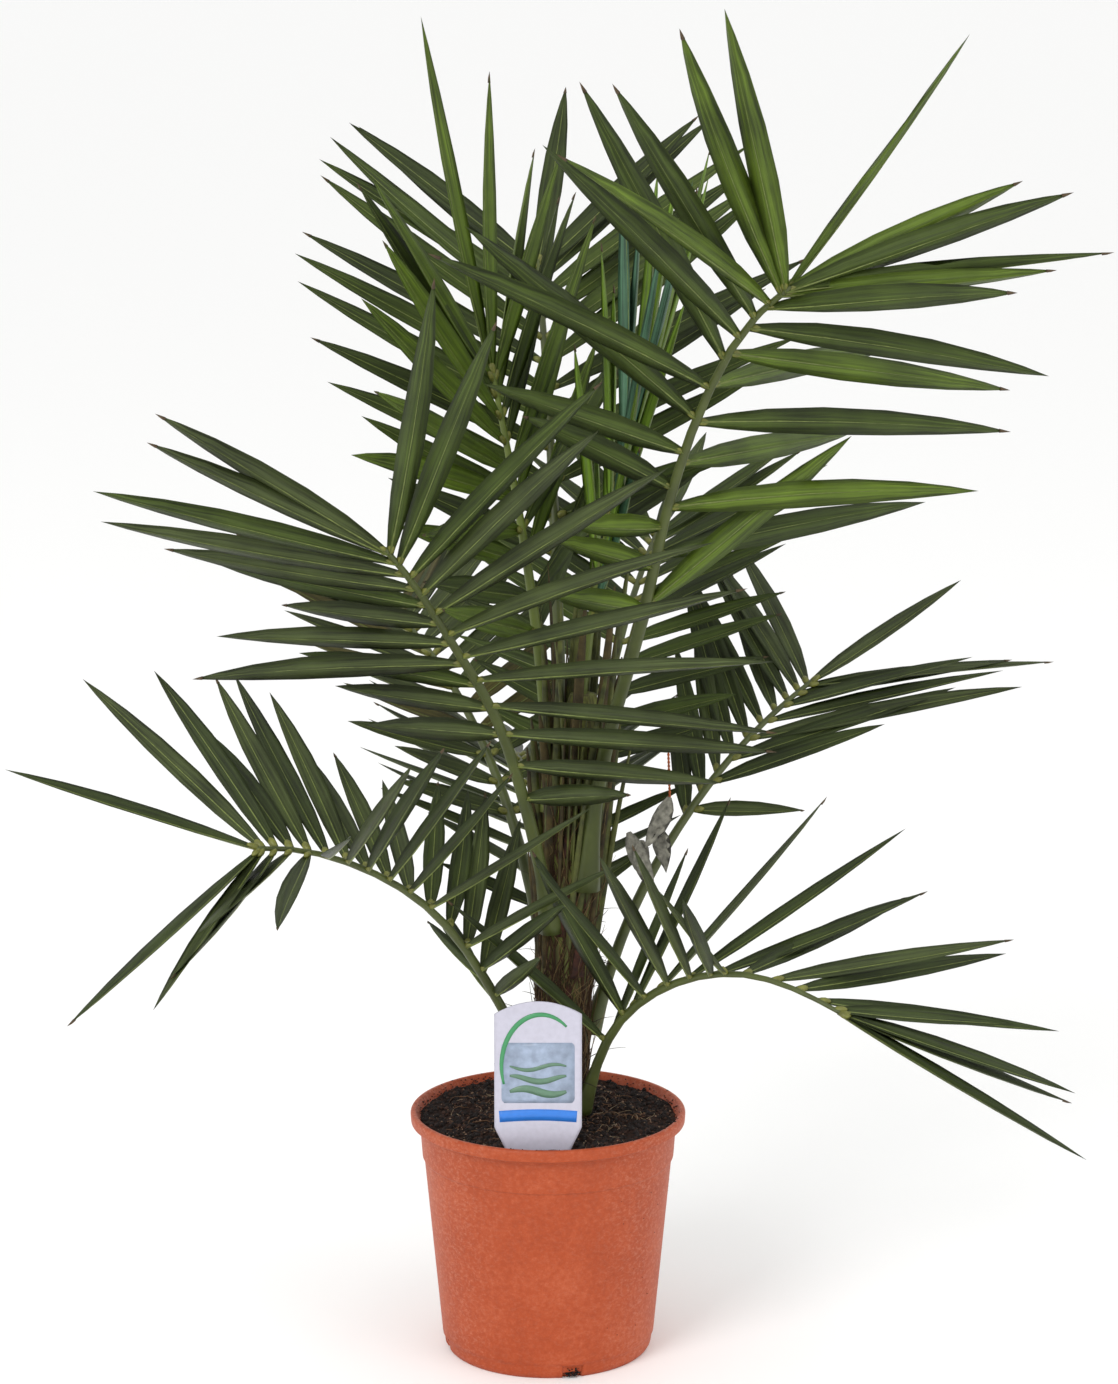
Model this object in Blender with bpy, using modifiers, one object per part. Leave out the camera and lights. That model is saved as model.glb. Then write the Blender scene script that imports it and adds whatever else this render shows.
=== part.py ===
"""A young canary island date palm in a nursery pot, metres, Z up.

The pot stands on z = 0 with its axis on the Z axis, and the palm's label faces -Y. Each frond is a
rib that bends by a few named leans, with a fan of folded leaflets down each side, set by splay, rise
and length from foot to tip.
"""

import math
from dataclasses import dataclass

import bmesh
import bpy
import numpy as np
from mathutils import Vector
from mathutils.bvhtree import BVHTree

GAP = 0.0003
EASE = 0.0002

POT_HEIGHT = 0.170
POT_RIM_RADIUS = 0.095
POT_WALL = 0.0022
POT_FLOOR = 0.004
POT_STEPS = 40
LIP_DEPTH = 0.0085
LIP_CHAMFER = 0.0016
LIP_THROAT = 0.0048
LIP_FLAT = 0.0034
LIP_EDGE = 0.0010
COLLAR_TOP_RADIUS = 0.0885
COLLAR_FOOT = 0.1374
COLLAR_FOOT_RADIUS = 0.0868
COLLAR_STEP = 0.0012
INNER_BEND = COLLAR_FOOT + 0.002
BODY_TOP_RADIUS = 0.0855
FOOT_HEIGHT = 0.010
FOOT_RADIUS = 0.0735
BASE_RADIUS = 0.0705
BASE_BEND = 0.003
DRAIN_COUNT = 4
DRAIN_WIDTH = 0.014
DRAIN_HEIGHT = 0.009
DRAIN_REACH = 0.012
DRAIN_START = -0.002
DRAIN_FIRST = -76.5

SOIL_TOP = 0.1655
SOIL_FLAT_RADIUS = 0.050
SOIL_BROW_RADIUS = 0.074
SOIL_BROW = 0.1645
SOIL_EDGE = 0.1630
SOIL_FLOOR = POT_FLOOR + GAP

CROWN_X = 0.012
STEM_AXIS = Vector((0.006, 0.0, SOIL_TOP + GAP))
STEM_LEAN = 0.06
STEM_TOP = 0.462
STEM_SIDES = 12
STEM_SUNK = 0.01
STEM_RADII = (
    (0.0, 0.0225), (0.06, 0.0205), (0.2, 0.019), (0.5, 0.0185), (0.8, 0.0165), (0.94, 0.0135), (1.0, 0.009),
)

LABEL_CENTRE_X = -0.0064
LABEL_Y = -0.076
LABEL_WIDTH = 0.0586
LABEL_THICKNESS = 0.0012
LABEL_TOP = 0.2685
LABEL_ARCH = 0.0088
LABEL_SHOULDER = 0.181
LABEL_STAKE_WIDTH = 0.016
LABEL_STAKE_TOP = 0.136
LABEL_STAKE_POINT = 0.3
LABEL_FOOT = 0.105
LABEL_FOOT_RISE = 0.012
LABEL_ARCH_KNOTS = ((0.75, 0.56), (0.40, 0.16))

RIB_STEPS = 14
RIB_SIDES = 6
BASE_SHARE = 0.12
BASE_SWELL = 0.75
RIB_THINNING = 0.62
LEAF_SECTIONS = ((0.0, 0.30), (0.14, 0.70), (0.46, 1.0))
LEAF_KEEL = 0.26
LEAF_LEAST_DEPTH = 0.0115
CLEARANCE = 0.0005
TIP_CROWDING = 1.35
LAST_SHARE = 0.992
SPREAD_JITTER = 2.0
RISE_JITTER = 3.0
LENGTH_JITTER = 0.03
TRIES = (
    (0, 0, 1.0), (0, 5, 1.0), (0, -5, 1.0), (4, 2, 1.0), (-4, -2, 1.0), (0, 10, 1.0), (0, -10, 1.0),
    (7, -6, 1.0), (-7, 6, 1.0), (3, 15, 0.97), (-3, -15, 0.97), (0, 0, 0.85), (5, 10, 0.85), (-5, -10, 0.85),
    (0, 0, 0.7), (6, 12, 0.7), (-6, -12, 0.7),
)

LEAF_GREEN = (0.055, 0.125, 0.035, 1.0)
YOUNG_GREEN = (0.10, 0.20, 0.045, 1.0)
STEM_GREEN = (0.16, 0.19, 0.06, 1.0)
TERRACOTTA = (0.53, 0.125, 0.055, 1.0)
SOIL_BROWN = (0.030, 0.016, 0.010, 1.0)
LABEL_LILAC = (0.60, 0.60, 0.72, 1.0)


@dataclass(frozen=True)
class Fan:
    """Leaflets down one side of a rib; each run of numbers goes from the foot to the tip."""

    side: int
    count: int
    splay: tuple
    rise: tuple
    length: tuple
    droop: float = 0.04
    stagger: tuple = (3.0, 4.0)
    span: tuple = (0.0, 1.0)
    twist: float = 0.0


RIGHT = 1
LEFT = -1


def end_leaflet(side, splay, rise, length, twist=0.0):
    """A fan of one leaflet at the rib's tip."""
    return Fan(side, 1, (splay,), (rise,), (length,), 0.03, (0.0, 0.0), (1.0, 1.0), twist)


@dataclass(frozen=True)
class Frond:
    """A rib by its compass direction, foot and leans from upright, with its fans."""

    name: str
    azimuth: float
    foot: float
    reach: float
    leans: tuple
    stalk: float
    rib: float
    fans: tuple
    roll: float = 0.0
    thick: float = 0.0052
    width: float = 0.016
    split: float = 0.0
    colour: tuple = LEAF_GREEN
    seed: int = 1


def even_fans(count, splay, rise, length, twist=0.0):
    """A like fan down each side."""
    return tuple(Fan(side, count, splay, rise, length, 0.03, twist=twist) for side in (RIGHT, LEFT))


FRONDS = (
    Frond(
        "frond_right_tall", -50, 0.330, 0.022, (4, 15, 25, 15, 24, 36, 62), 0.195, 0.281,
        (
            end_leaflet(RIGHT, 42, 30, 0.237),
            end_leaflet(LEFT, 65, 65, 0.217),
            end_leaflet(LEFT, 39, 28, 0.166, -30),
            end_leaflet(LEFT, 27, 16, 0.190, -30),
            end_leaflet(LEFT, 45, 6, 0.209, -30),
            Fan(
                RIGHT, 12, (70, 77, 76, 68, 57, 56, 59), (-10, -7, 19, 8, 14, -6, 7),
                (0.093, 0.073, 0.124, 0.228, 0.225, 0.261, 0.234), stagger=(-4, 9),
            ),
            Fan(
                LEFT, 10, (47, 79, 89, 82, 96, 42, 38), (3, -12, 16, 19, 16, -35, -12),
                (0.179, 0.204, 0.193, 0.238, 0.214, 0.182, 0.163), 0.06, (7, 13), twist=-30,
            ),
        ),
        roll=-20, thick=0.0056, width=0.018, seed=3,
    ),
    Frond(
        "frond_left_mid", 235, 0.300, 0.016, (14, 20, 26, 42, 41, 51), 0.090, 0.257,
        (
            end_leaflet(RIGHT, 16, 2, 0.200, -25),
            Fan(
                RIGHT, 11, (76, 54, 73, 74, 63, 56, 22), (-3, 4, -11, 14, 4, 1, -8),
                (0.093, 0.108, 0.194, 0.112, 0.165, 0.206, 0.196), 0.04, (1, -2), (0.22, 1.0), -25,
            ),
            Fan(
                LEFT, 12, (91, 114, 91, 79, 63, 58, 37), (1, 5, -8, -1, 5, 16, 28),
                (0.077, 0.185, 0.214, 0.218, 0.186, 0.200, 0.219), stagger=(4, 1),
            ),
        ),
        roll=20, width=0.0165, seed=5,
    ),
    Frond(
        "frond_left_low", 218, 0.171, 0.0072, (28, 32, 31, 42, 58, 68, 84), 0.093, 0.252,
        (
            end_leaflet(RIGHT, 27, 37, 0.176, 35),
            end_leaflet(LEFT, 34, -42, 0.222, 35),
            Fan(RIGHT, 3, (62, 70), (20,), (0.085, 0.07), span=(0.0, 0.12)),
            Fan(
                RIGHT, 13, (75, 88, 92, 88, 88, 90, 80), (68, 58, 42, 31, 34, 30, 29),
                (0.14, 0.13, 0.122, 0.134, 0.197, 0.124, 0.199), 0.03, (-2, 3), (0.08, 1.0), 35,
            ),
            Fan(
                LEFT, 14, (54, 73, 77, 62, 59, 40, 40), (13, 39, 35, 40, 15, -37, -38),
                (0.077, 0.148, 0.163, 0.172, 0.188, 0.131, 0.182), 0.03, (-2, 0), twist=35,
            ),
        ),
        thick=0.0045, width=0.0145, split=0.50, seed=7,
    ),
    Frond(
        "frond_right_low", -38, 0.171, 0.0149, (18, 22, 48, 64, 80, 100, 108), 0.044, 0.229,
        (
            end_leaflet(LEFT, 17, 29, 0.173, 35),
            end_leaflet(LEFT, 10, 20, 0.165, 35),
            end_leaflet(LEFT, 1, -30, 0.194, 35),
            Fan(
                RIGHT, 7, (65, 56, 63, 62, 62, 60, 81), (51, 35, 39, 36, 47, 36, 39),
                (0.153, 0.162, 0.174, 0.166, 0.159, 0.136, 0.125), 0.03, (0, 0), (0.0, 0.62), 35,
            ),
            Fan(
                LEFT, 10, (31, 46, 48, 86, 61, 52, 21), (44, 48, 19, 4, 18, 5, 40),
                (0.155, 0.173, 0.189, 0.180, 0.169, 0.169, 0.122), 0.03, (9, 0), twist=35,
            ),
        ),
        thick=0.0042, width=0.0145, split=0.52, seed=9,
    ),
    Frond(
        "frond_right_back", 40, 0.220, 0.0225, (22, 26, 40, 48, 58, 66), 0.140, 0.173,
        (
            end_leaflet(RIGHT, 11, 36, 0.141),
            Fan(
                RIGHT, 8, (58, 34, 42, 36, 24, 32, 33), (-4, 2, 0, -5, -13, -11, -18),
                (0.081, 0.137, 0.186, 0.213, 0.145, 0.170, 0.191), 0.05, (1, 6), (0.12, 1.0),
            ),
            Fan(
                LEFT, 10, (41, 39, 49, 57, 56, 62, 54), (1, 2, 0, 5, -2, -2, 0),
                (0.103, 0.156, 0.173, 0.184, 0.182, 0.188, 0.179), 0.03, (0, 2), (0.1, 1.0),
            ),
        ),
        roll=20, thick=0.0045, width=0.0145, seed=11,
    ),
    Frond(
        "frond_back_tall", 96, 0.350, 0.020, (5, 13, 22, 34, 42), 0.190, 0.240,
        (end_leaflet(RIGHT, 8, 0, 0.17),)
        + even_fans(12, (64, 65, 62, 56, 50, 42), (10,), (0.13, 0.18, 0.20, 0.20, 0.20, 0.18)),
        width=0.0165, seed=13,
    ),
    Frond(
        "frond_young_left", 150, 0.380, 0.011, (3, 7, 11, 14), 0.110, 0.190,
        (
            end_leaflet(RIGHT, 3, 10, 0.25),
            end_leaflet(RIGHT, 14, 20, 0.21),
            Fan(RIGHT, 10, (45, 42, 40, 38, 36, 33), (10,), (0.14, 0.18, 0.20, 0.20, 0.20, 0.19), 0.01),
            Fan(LEFT, 10, (76, 76, 74, 62, 48, 36), (8,), (0.17, 0.18, 0.19, 0.20, 0.20, 0.19), 0.02),
        ),
        width=0.018, colour=YOUNG_GREEN, seed=15,
    ),
    Frond(
        "frond_young_centre", 15, 0.420, 0.008, (4, 8, 12, 15), 0.080, 0.150,
        (end_leaflet(RIGHT, 2, 0, 0.20),)
        + even_fans(8, (28, 24, 22, 18, 13), (12,), (0.14, 0.19, 0.22, 0.21, 0.19)),
        thick=0.0042, width=0.016, colour=YOUNG_GREEN, seed=17,
    ),
    Frond(
        "frond_back_right", 74, 0.270, 0.024, (12, 24, 40, 56, 66), 0.130, 0.230,
        (end_leaflet(RIGHT, 2, 0, 0.15),)
        + even_fans(12, (75, 72, 66, 58, 50, 40), (14,), (0.09, 0.12, 0.13, 0.14, 0.15, 0.15)),
        thick=0.0048, width=0.015, seed=19,
    ),
    Frond(
        "frond_back_left", 120, 0.245, 0.022, (14, 28, 44, 60, 72), 0.120, 0.220,
        (end_leaflet(RIGHT, 2, 0, 0.15),)
        + even_fans(12, (75, 72, 66, 58, 50, 40), (14,), (0.09, 0.11, 0.12, 0.13, 0.14, 0.14)),
        thick=0.0048, width=0.015, seed=21,
    ),
    Frond(
        "frond_back_low", 98, 0.205, 0.020, (20, 36, 56, 74, 90), 0.090, 0.210,
        (end_leaflet(RIGHT, 2, 5, 0.14),)
        + even_fans(11, (72, 74, 68, 60, 50, 38), (22,), (0.09, 0.12, 0.14, 0.14, 0.14, 0.13), 25),
        thick=0.0044, width=0.0145, split=0.52, seed=23,
    ),
)


def named_material(name, colour, roughness):
    """A plain Principled material."""
    material = bpy.data.materials.new(name)
    material.use_nodes = True
    shader = material.node_tree.nodes["Principled BSDF"]
    shader.inputs["Base Color"].default_value = colour
    shader.inputs["Roughness"].default_value = roughness
    return material


def clear_scene():
    """Empties the startup scene."""
    for obj in list(bpy.data.objects):
        bpy.data.objects.remove(obj)


def new_collection(name, helper=False):
    """A collection in the scene; a helper one is left out of renders."""
    collection = bpy.data.collections.new(name)
    bpy.context.scene.collection.children.link(collection)
    collection.hide_render = helper
    return collection


def mesh_object(name, verts, faces, collection):
    """An object from points and faces."""
    mesh = bpy.data.meshes.new(name)
    mesh.from_pydata([tuple(v) for v in verts], [], faces)
    mesh.update()
    obj = bpy.data.objects.new(name, mesh)
    collection.objects.link(obj)
    return obj


def set_helper(obj):
    """Marks a cutter, so that it isn't a node."""
    obj.hide_render = True
    obj.display_type = "WIRE"
    return obj


def baked(obj):
    """Replaces the object's mesh by its evaluated one and drops its modifiers."""
    graph = bpy.context.evaluated_depsgraph_get()
    mesh = bpy.data.meshes.new_from_object(obj.evaluated_get(graph))
    obj.modifiers.clear()
    obj.data = mesh
    return obj


def boolean(obj, operand, operation, solver="EXACT"):
    """One Boolean with an object or a collection, applied."""
    modifier = obj.modifiers.new(operation.lower(), "BOOLEAN")
    modifier.operation = operation
    modifier.solver = solver
    if isinstance(operand, bpy.types.Collection):
        modifier.operand_type = "COLLECTION"
        modifier.collection = operand
    else:
        modifier.object = operand
    return baked(obj)


def tube(name, points, radii, sides, collection):
    """A round tube through the points, with filled ends and a radius at each point."""
    curve = bpy.data.curves.new(name, "CURVE")
    curve.dimensions = "3D"
    curve.fill_mode = "FULL"
    curve.bevel_depth = 1.0
    curve.bevel_resolution = sides // 2 - 2
    curve.use_fill_caps = True
    spline = curve.splines.new("POLY")
    spline.points.add(len(points) - 1)
    for point, place, radius in zip(spline.points, points, radii):
        point.co = (*place, 1.0)
        point.radius = radius
    source = bpy.data.objects.new(name + "_path", curve)
    collection.objects.link(source)
    graph = bpy.context.evaluated_depsgraph_get()
    mesh = bpy.data.meshes.new_from_object(source.evaluated_get(graph))
    bpy.data.objects.remove(source)
    obj = bpy.data.objects.new(name, mesh)
    collection.objects.link(obj)
    shape = bmesh.new()
    shape.from_mesh(mesh)
    bmesh.ops.remove_doubles(shape, verts=shape.verts, dist=1e-6)
    bmesh.ops.recalc_face_normals(shape, faces=shape.faces)
    shape.to_mesh(mesh)
    shape.free()
    return obj


def turned(name, profile, steps, collection):
    """A body turned round the Z axis from a profile of (radius, height)."""
    verts = [(radius, 0.0, height) for radius, height in profile]
    edges = [(i, i + 1) for i in range(len(verts) - 1)]
    mesh = bpy.data.meshes.new(name)
    mesh.from_pydata(verts, edges, [])
    obj = bpy.data.objects.new(name, mesh)
    collection.objects.link(obj)
    screw = obj.modifiers.new("turn", "SCREW")
    screw.steps = steps
    screw.render_steps = steps
    screw.use_merge_vertices = True
    screw.merge_threshold = 0.00001
    return baked(obj)


def box(name, centre, size, turn, collection):
    """A cutter box turned about Z."""
    shape = bmesh.new()
    bmesh.ops.create_cube(shape, size=1.0)
    mesh = bpy.data.meshes.new(name)
    shape.to_mesh(mesh)
    shape.free()
    obj = bpy.data.objects.new(name, mesh)
    collection.objects.link(obj)
    obj.scale = size
    obj.rotation_euler = (0.0, 0.0, turn)
    obj.location = centre
    return set_helper(obj)


def body_radius(height):
    """The pot's outer radius below its collar."""
    share = (height - FOOT_HEIGHT) / (COLLAR_FOOT - FOOT_HEIGHT)
    return FOOT_RADIUS + share * (BODY_TOP_RADIUS - FOOT_RADIUS)


def inner_wall():
    """The inside of the pot's wall from its floor to the throat of its lip, as (radius, height)."""
    return [
        (FOOT_RADIUS - POT_WALL, POT_FLOOR),
        (body_radius(COLLAR_FOOT) - POT_WALL, INNER_BEND),
        (COLLAR_TOP_RADIUS - POT_WALL, POT_HEIGHT - LIP_DEPTH),
        (POT_RIM_RADIUS - LIP_THROAT, POT_HEIGHT - LIP_CHAMFER),
    ]


def pot_profile():
    """The pot's wall from the middle of its floor inside, over the lip and down to its underside."""
    lip_foot = POT_HEIGHT - LIP_DEPTH
    outer = [
        (POT_RIM_RADIUS - LIP_FLAT, POT_HEIGHT),
        (POT_RIM_RADIUS - LIP_EDGE, POT_HEIGHT - EASE),
        (POT_RIM_RADIUS, POT_HEIGHT - LIP_CHAMFER),
        (POT_RIM_RADIUS - 2 * EASE, lip_foot + 3 * EASE),
        (POT_RIM_RADIUS - LIP_CHAMFER, lip_foot),
        (COLLAR_TOP_RADIUS, lip_foot - LIP_CHAMFER),
        (COLLAR_FOOT_RADIUS, COLLAR_FOOT),
        (BODY_TOP_RADIUS, COLLAR_FOOT - COLLAR_STEP),
        (FOOT_RADIUS, FOOT_HEIGHT),
        (FOOT_RADIUS - COLLAR_STEP, FOOT_HEIGHT - COLLAR_STEP),
        (BASE_RADIUS + COLLAR_STEP, BASE_BEND),
        (BASE_RADIUS - 2 * EASE, 0.0),
        (0.0, 0.0),
    ]
    return [(0.0, POT_FLOOR)] + inner_wall() + outer


def make_pot(parts, cutters):
    """The nursery pot with its drain notches round the foot."""
    pot = turned("pot", pot_profile(), POT_STEPS, parts)
    for index in range(DRAIN_COUNT):
        angle = math.radians(DRAIN_FIRST + 360.0 / DRAIN_COUNT * index)
        middle = Vector((math.cos(angle), math.sin(angle), 0.0)) * FOOT_RADIUS
        middle.z = (DRAIN_START + DRAIN_HEIGHT) / 2
        size = (DRAIN_REACH, DRAIN_WIDTH, DRAIN_HEIGHT - DRAIN_START)
        notch = box(f"drain_{index}", middle, size, angle, cutters)
        boolean(pot, notch, "DIFFERENCE")
    pot.data.materials.append(named_material("terracotta_plastic", TERRACOTTA, 0.55))
    return pot


def soil_profile():
    """The soil's outline inside the pot, with a low mound in the middle."""
    foot, bend, throat, lip = [(radius - GAP - EASE, height) for radius, height in inner_wall()]
    share = (SOIL_EDGE - throat[1]) / (lip[1] - throat[1])
    return [
        (0.0, SOIL_TOP),
        (SOIL_FLAT_RADIUS, SOIL_TOP),
        (SOIL_BROW_RADIUS, SOIL_BROW),
        (throat[0] + share * (lip[0] - throat[0]), SOIL_EDGE),
        throat,
        bend,
        (foot[0], SOIL_FLOOR),
        (0.0, SOIL_FLOOR),
    ]


def make_soil(parts, cutters):
    """The soil, with a slot for the label's stake."""
    soil = turned("soil", soil_profile(), POT_STEPS, parts)
    slot = label_plate("label_slot", GAP, cutters)
    boolean(soil, set_helper(slot), "DIFFERENCE")
    soil.data.materials.append(named_material("potting_soil", SOIL_BROWN, 0.95))
    return soil


def label_outline(grow):
    """The label's outline in X and Z, arched at the top and narrowed to a stake."""
    half = LABEL_WIDTH / 2 + grow
    stake = LABEL_STAKE_WIDTH / 2 + grow
    right = [
        (stake * LABEL_STAKE_POINT, LABEL_FOOT - grow),
        (stake, LABEL_FOOT + LABEL_FOOT_RISE),
        (stake, LABEL_STAKE_TOP),
        (half, LABEL_SHOULDER),
        (half, LABEL_TOP - LABEL_ARCH + grow),
    ]
    right += [(half * wide, LABEL_TOP - LABEL_ARCH * drop + grow) for wide, drop in LABEL_ARCH_KNOTS]
    right.append((0.0, LABEL_TOP + grow))
    left = [(-x, z) for x, z in reversed(right[:-1])]
    return right + left


def label_plate(name, grow, collection):
    """The label's plate, grown all round by a gap."""
    verts = [(LABEL_CENTRE_X + x, LABEL_Y, z) for x, z in label_outline(grow)]
    plate = mesh_object(name, verts, [tuple(range(len(verts)))], collection)
    solid = plate.modifiers.new("thickness", "SOLIDIFY")
    solid.thickness = LABEL_THICKNESS + 2 * grow
    solid.offset = 0.0
    return baked(plate)


def make_label(parts):
    """The plain plant label."""
    label = label_plate("label", 0.0, parts)
    label.data.materials.append(named_material("label_card", LABEL_LILAC, 0.4))
    return label


def stem_centre(height):
    """The stem's axis at a height."""
    rise = height - STEM_AXIS.z
    return STEM_AXIS + Vector((STEM_LEAN * rise, 0.0, rise))


def stem_tube(name, grow, collection):
    """The stem of packed leaf bases, grown all round, before its flat cut."""
    length = STEM_TOP - STEM_AXIS.z
    heights = [STEM_AXIS.z - STEM_SUNK] + [STEM_AXIS.z + share * length for share, _ in STEM_RADII]
    radii = [STEM_RADII[0][1]] + [radius for _, radius in STEM_RADII]
    places = [stem_centre(height) for height in heights]
    if grow:
        places.append(places[-1] + Vector((0.0, 0.0, grow)))
        radii.append(radii[-1])
    return tube(name, places, [radius + grow for radius in radii], STEM_SIDES, collection)


def cut_flat(obj, height):
    """Cuts away all below a height and closes the cut."""
    shape = bmesh.new()
    shape.from_mesh(obj.data)
    everything = list(shape.verts) + list(shape.edges) + list(shape.faces)
    cut = bmesh.ops.bisect_plane(
        shape, geom=everything, plane_co=(0, 0, height), plane_no=(0, 0, 1), clear_inner=True
    )
    edges = [item for item in cut["geom_cut"] if isinstance(item, bmesh.types.BMEdge)]
    bmesh.ops.contextual_create(shape, geom=edges)
    bmesh.ops.recalc_face_normals(shape, faces=shape.faces)
    shape.to_mesh(obj.data)
    shape.free()
    return obj


def make_stem(parts):
    """The stem, cut flat at the soil."""
    stem = cut_flat(stem_tube("stem", 0.0, parts), STEM_AXIS.z)
    stem.data.materials.append(named_material("stem_sheaths", STEM_GREEN, 0.7))
    return stem


def along(knots, share):
    """The value at a share of a run of equally spaced knots."""
    return float(np.interp(share, np.linspace(0.0, 1.0, len(knots)), knots))


class Rib:
    """A frond's rib: its places, forward and upper directions at equal steps."""

    def __init__(self, frond):
        self.frond = frond
        self.shares = np.linspace(0.0, 1.0, RIB_STEPS + 1)
        turn = math.radians(frond.azimuth)
        out = Vector((math.cos(turn), math.sin(turn), 0.0))
        step = (frond.stalk + frond.rib) / RIB_STEPS
        place = Vector((CROWN_X, 0.0, frond.foot)) + out * frond.reach
        self.places = []
        self.forwards = []
        self.uppers = []
        for share in self.shares:
            lean = math.radians(along(frond.leans, share))
            forward = out * math.sin(lean) + Vector((0, 0, math.cos(lean)))
            upper = Vector((0, 0, math.sin(lean))) - out * math.cos(lean)
            side = forward.cross(upper)
            roll = math.radians(frond.roll)
            if self.places:
                place = place + (forward + self.forwards[-1]) * (step / 2)
            self.places.append(place)
            self.forwards.append(forward)
            self.uppers.append(upper * math.cos(roll) + side * math.sin(roll))

    def at(self, share):
        """The place, forward, upper and right directions at a share of the rib."""
        index = min(int(share * RIB_STEPS), RIB_STEPS - 1)
        rest = share * RIB_STEPS - index
        place = self.places[index].lerp(self.places[index + 1], rest)
        forward = self.forwards[index].lerp(self.forwards[index + 1], rest).normalized()
        upper = self.uppers[index].lerp(self.uppers[index + 1], rest).normalized()
        return place, forward, upper, forward.cross(upper)

    def radius(self, share):
        """The rib's half thickness, swollen at its foot and thin at its tip."""
        swell = BASE_SWELL * max(0.0, 1.0 - share / BASE_SHARE)
        return self.frond.thick * (1.0 + swell - RIB_THINNING * share)

    def tube(self, name, start, end, grow, collection):
        """The rib's tube between two shares."""
        steps = max(2, round((end - start) * RIB_STEPS))
        shares = [start + (end - start) * i / steps for i in range(steps + 1)]
        places = [self.at(share)[0] for share in shares]
        radii = [self.radius(share) + grow for share in shares]
        return tube(name, places, radii, RIB_SIDES, collection)


@dataclass
class Leaflet:
    """A folded leaflet: its root, direction, upper face and size."""

    root: Vector
    forward: Vector
    upper: Vector
    length: float
    width: float
    droop: float

    def solid(self, grow=0.0):
        """The points and faces of a closed body, three points to a section and one at the tip."""
        side = self.forward.cross(self.upper)
        verts = []
        for share, wide in LEAF_SECTIONS:
            middle = self.middle(share)
            half = self.width / 2 * wide + grow
            depth = max(self.width * LEAF_KEEL * wide, self.length * LEAF_LEAST_DEPTH) + grow
            verts += [middle - side * half + self.upper * grow, middle + side * half + self.upper * grow]
            verts.append(middle - self.upper * depth)
        tip = len(verts)
        verts.append(self.middle(1.0) + self.forward * grow)
        faces = [(0, 2, 1)]
        for base in range(0, tip - 3, 3):
            for k in range(3):
                a, b = base + k, base + (k + 1) % 3
                faces += [(a, b, b + 3), (a, b + 3, a + 3)]
        faces += [(tip - 3 + k, tip - 3 + (k + 1) % 3, tip) for k in range(3)]
        return verts, faces

    def middle(self, share):
        """The blade's middle line, which droops towards the tip."""
        sag = Vector((0, 0, -self.droop * share * share))
        return self.root + (self.forward * share + sag) * self.length


@dataclass(frozen=True)
class Plan:
    """Where a leaflet is meant to stand on its rib; the sign picks the side."""

    share: float
    splay: float
    rise: float
    sign: int
    length: float
    droop: float
    twist: float

    def leaflet(self, rib, more_splay, more_rise, part):
        """The leaflet, turned from its plan by two angles and cut to a part of its length."""
        place, forward, upper, right = rib.at(self.share)
        splay = math.radians(self.splay + more_splay)
        rise = math.radians(self.rise + more_rise)
        aside = right * self.sign * math.cos(rise) + upper * math.sin(rise)
        way = (forward * math.cos(splay) + aside * math.sin(splay)).normalized()
        twist = math.radians(self.twist)
        face = upper * math.cos(twist) + forward * math.sin(twist)
        face = (face - way * face.dot(way)).normalized()
        return Leaflet(place, way, face, self.length * part, rib.frond.width, self.droop)


def fan_plan(rib, fan, rng):
    """The plans of a fan's leaflets, which stand closer towards the tip."""
    first = rib.frond.stalk / (rib.frond.stalk + rib.frond.rib)
    plans = []
    for k in range(fan.count):
        even = 1.0 - (1.0 - (k + 0.5) / fan.count) ** TIP_CROWDING
        share = first + (LAST_SHARE - first) * (fan.span[0] + (fan.span[1] - fan.span[0]) * even)
        order = k / max(1, fan.count - 1)
        turn = 1.0 if k % 2 else -1.0
        splay = along(fan.splay, order) + turn * fan.stagger[0] + rng.normal(0.0, SPREAD_JITTER)
        rise = along(fan.rise, order) + turn * fan.stagger[1] + rng.normal(0.0, RISE_JITTER)
        length = along(fan.length, order) * (1.0 + rng.normal(0.0, LENGTH_JITTER))
        plans.append(Plan(share, splay, rise, fan.side, length, fan.droop, fan.twist))
    return plans


class Crowd:
    """What already stands in the crown, so that a new leaflet can keep clear of it."""

    def __init__(self):
        self.shapes = []

    def add(self, owner, verts, faces):
        """Adds a shape under its owner's name."""
        corners = np.array([tuple(v) for v in verts])
        tree = BVHTree.FromPolygons([tuple(v) for v in verts], faces)
        self.shapes.append((owner, corners.min(axis=0), corners.max(axis=0), tree))

    def add_object(self, owner, obj):
        """Adds an object's mesh."""
        verts = [obj.matrix_world @ v.co for v in obj.data.vertices]
        self.add(owner, verts, [tuple(p.vertices) for p in obj.data.polygons])

    def touches(self, owner, verts, faces):
        """Whether the shape meets anything that isn't its owner's."""
        corners = np.array([tuple(v) for v in verts])
        low, high = corners.min(axis=0), corners.max(axis=0)
        tree = None
        for other, other_low, other_high, other_tree in self.shapes:
            if other == owner or (other_low > high).any() or (low > other_high).any():
                continue
            if tree is None:
                tree = BVHTree.FromPolygons([tuple(v) for v in verts], faces)
            if tree.overlap(other_tree):
                return True
        return False


def clear_leaflet(rib, plan, owner, crowd):
    """The planned leaflet, tilted or shortened until it is clear, or None."""
    for more_splay, more_rise, part in TRIES:
        leaflet = plan.leaflet(rib, more_splay, more_rise, part)
        if not crowd.touches(owner, *leaflet.solid(CLEARANCE)):
            return leaflet
    return None


def owner_of(frond, share):
    """The node that holds a share of the frond: an arching frond is split at its bend."""
    if not frond.split:
        return frond.name
    return frond.name + ("_foot" if share < frond.split else "_tip")


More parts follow.
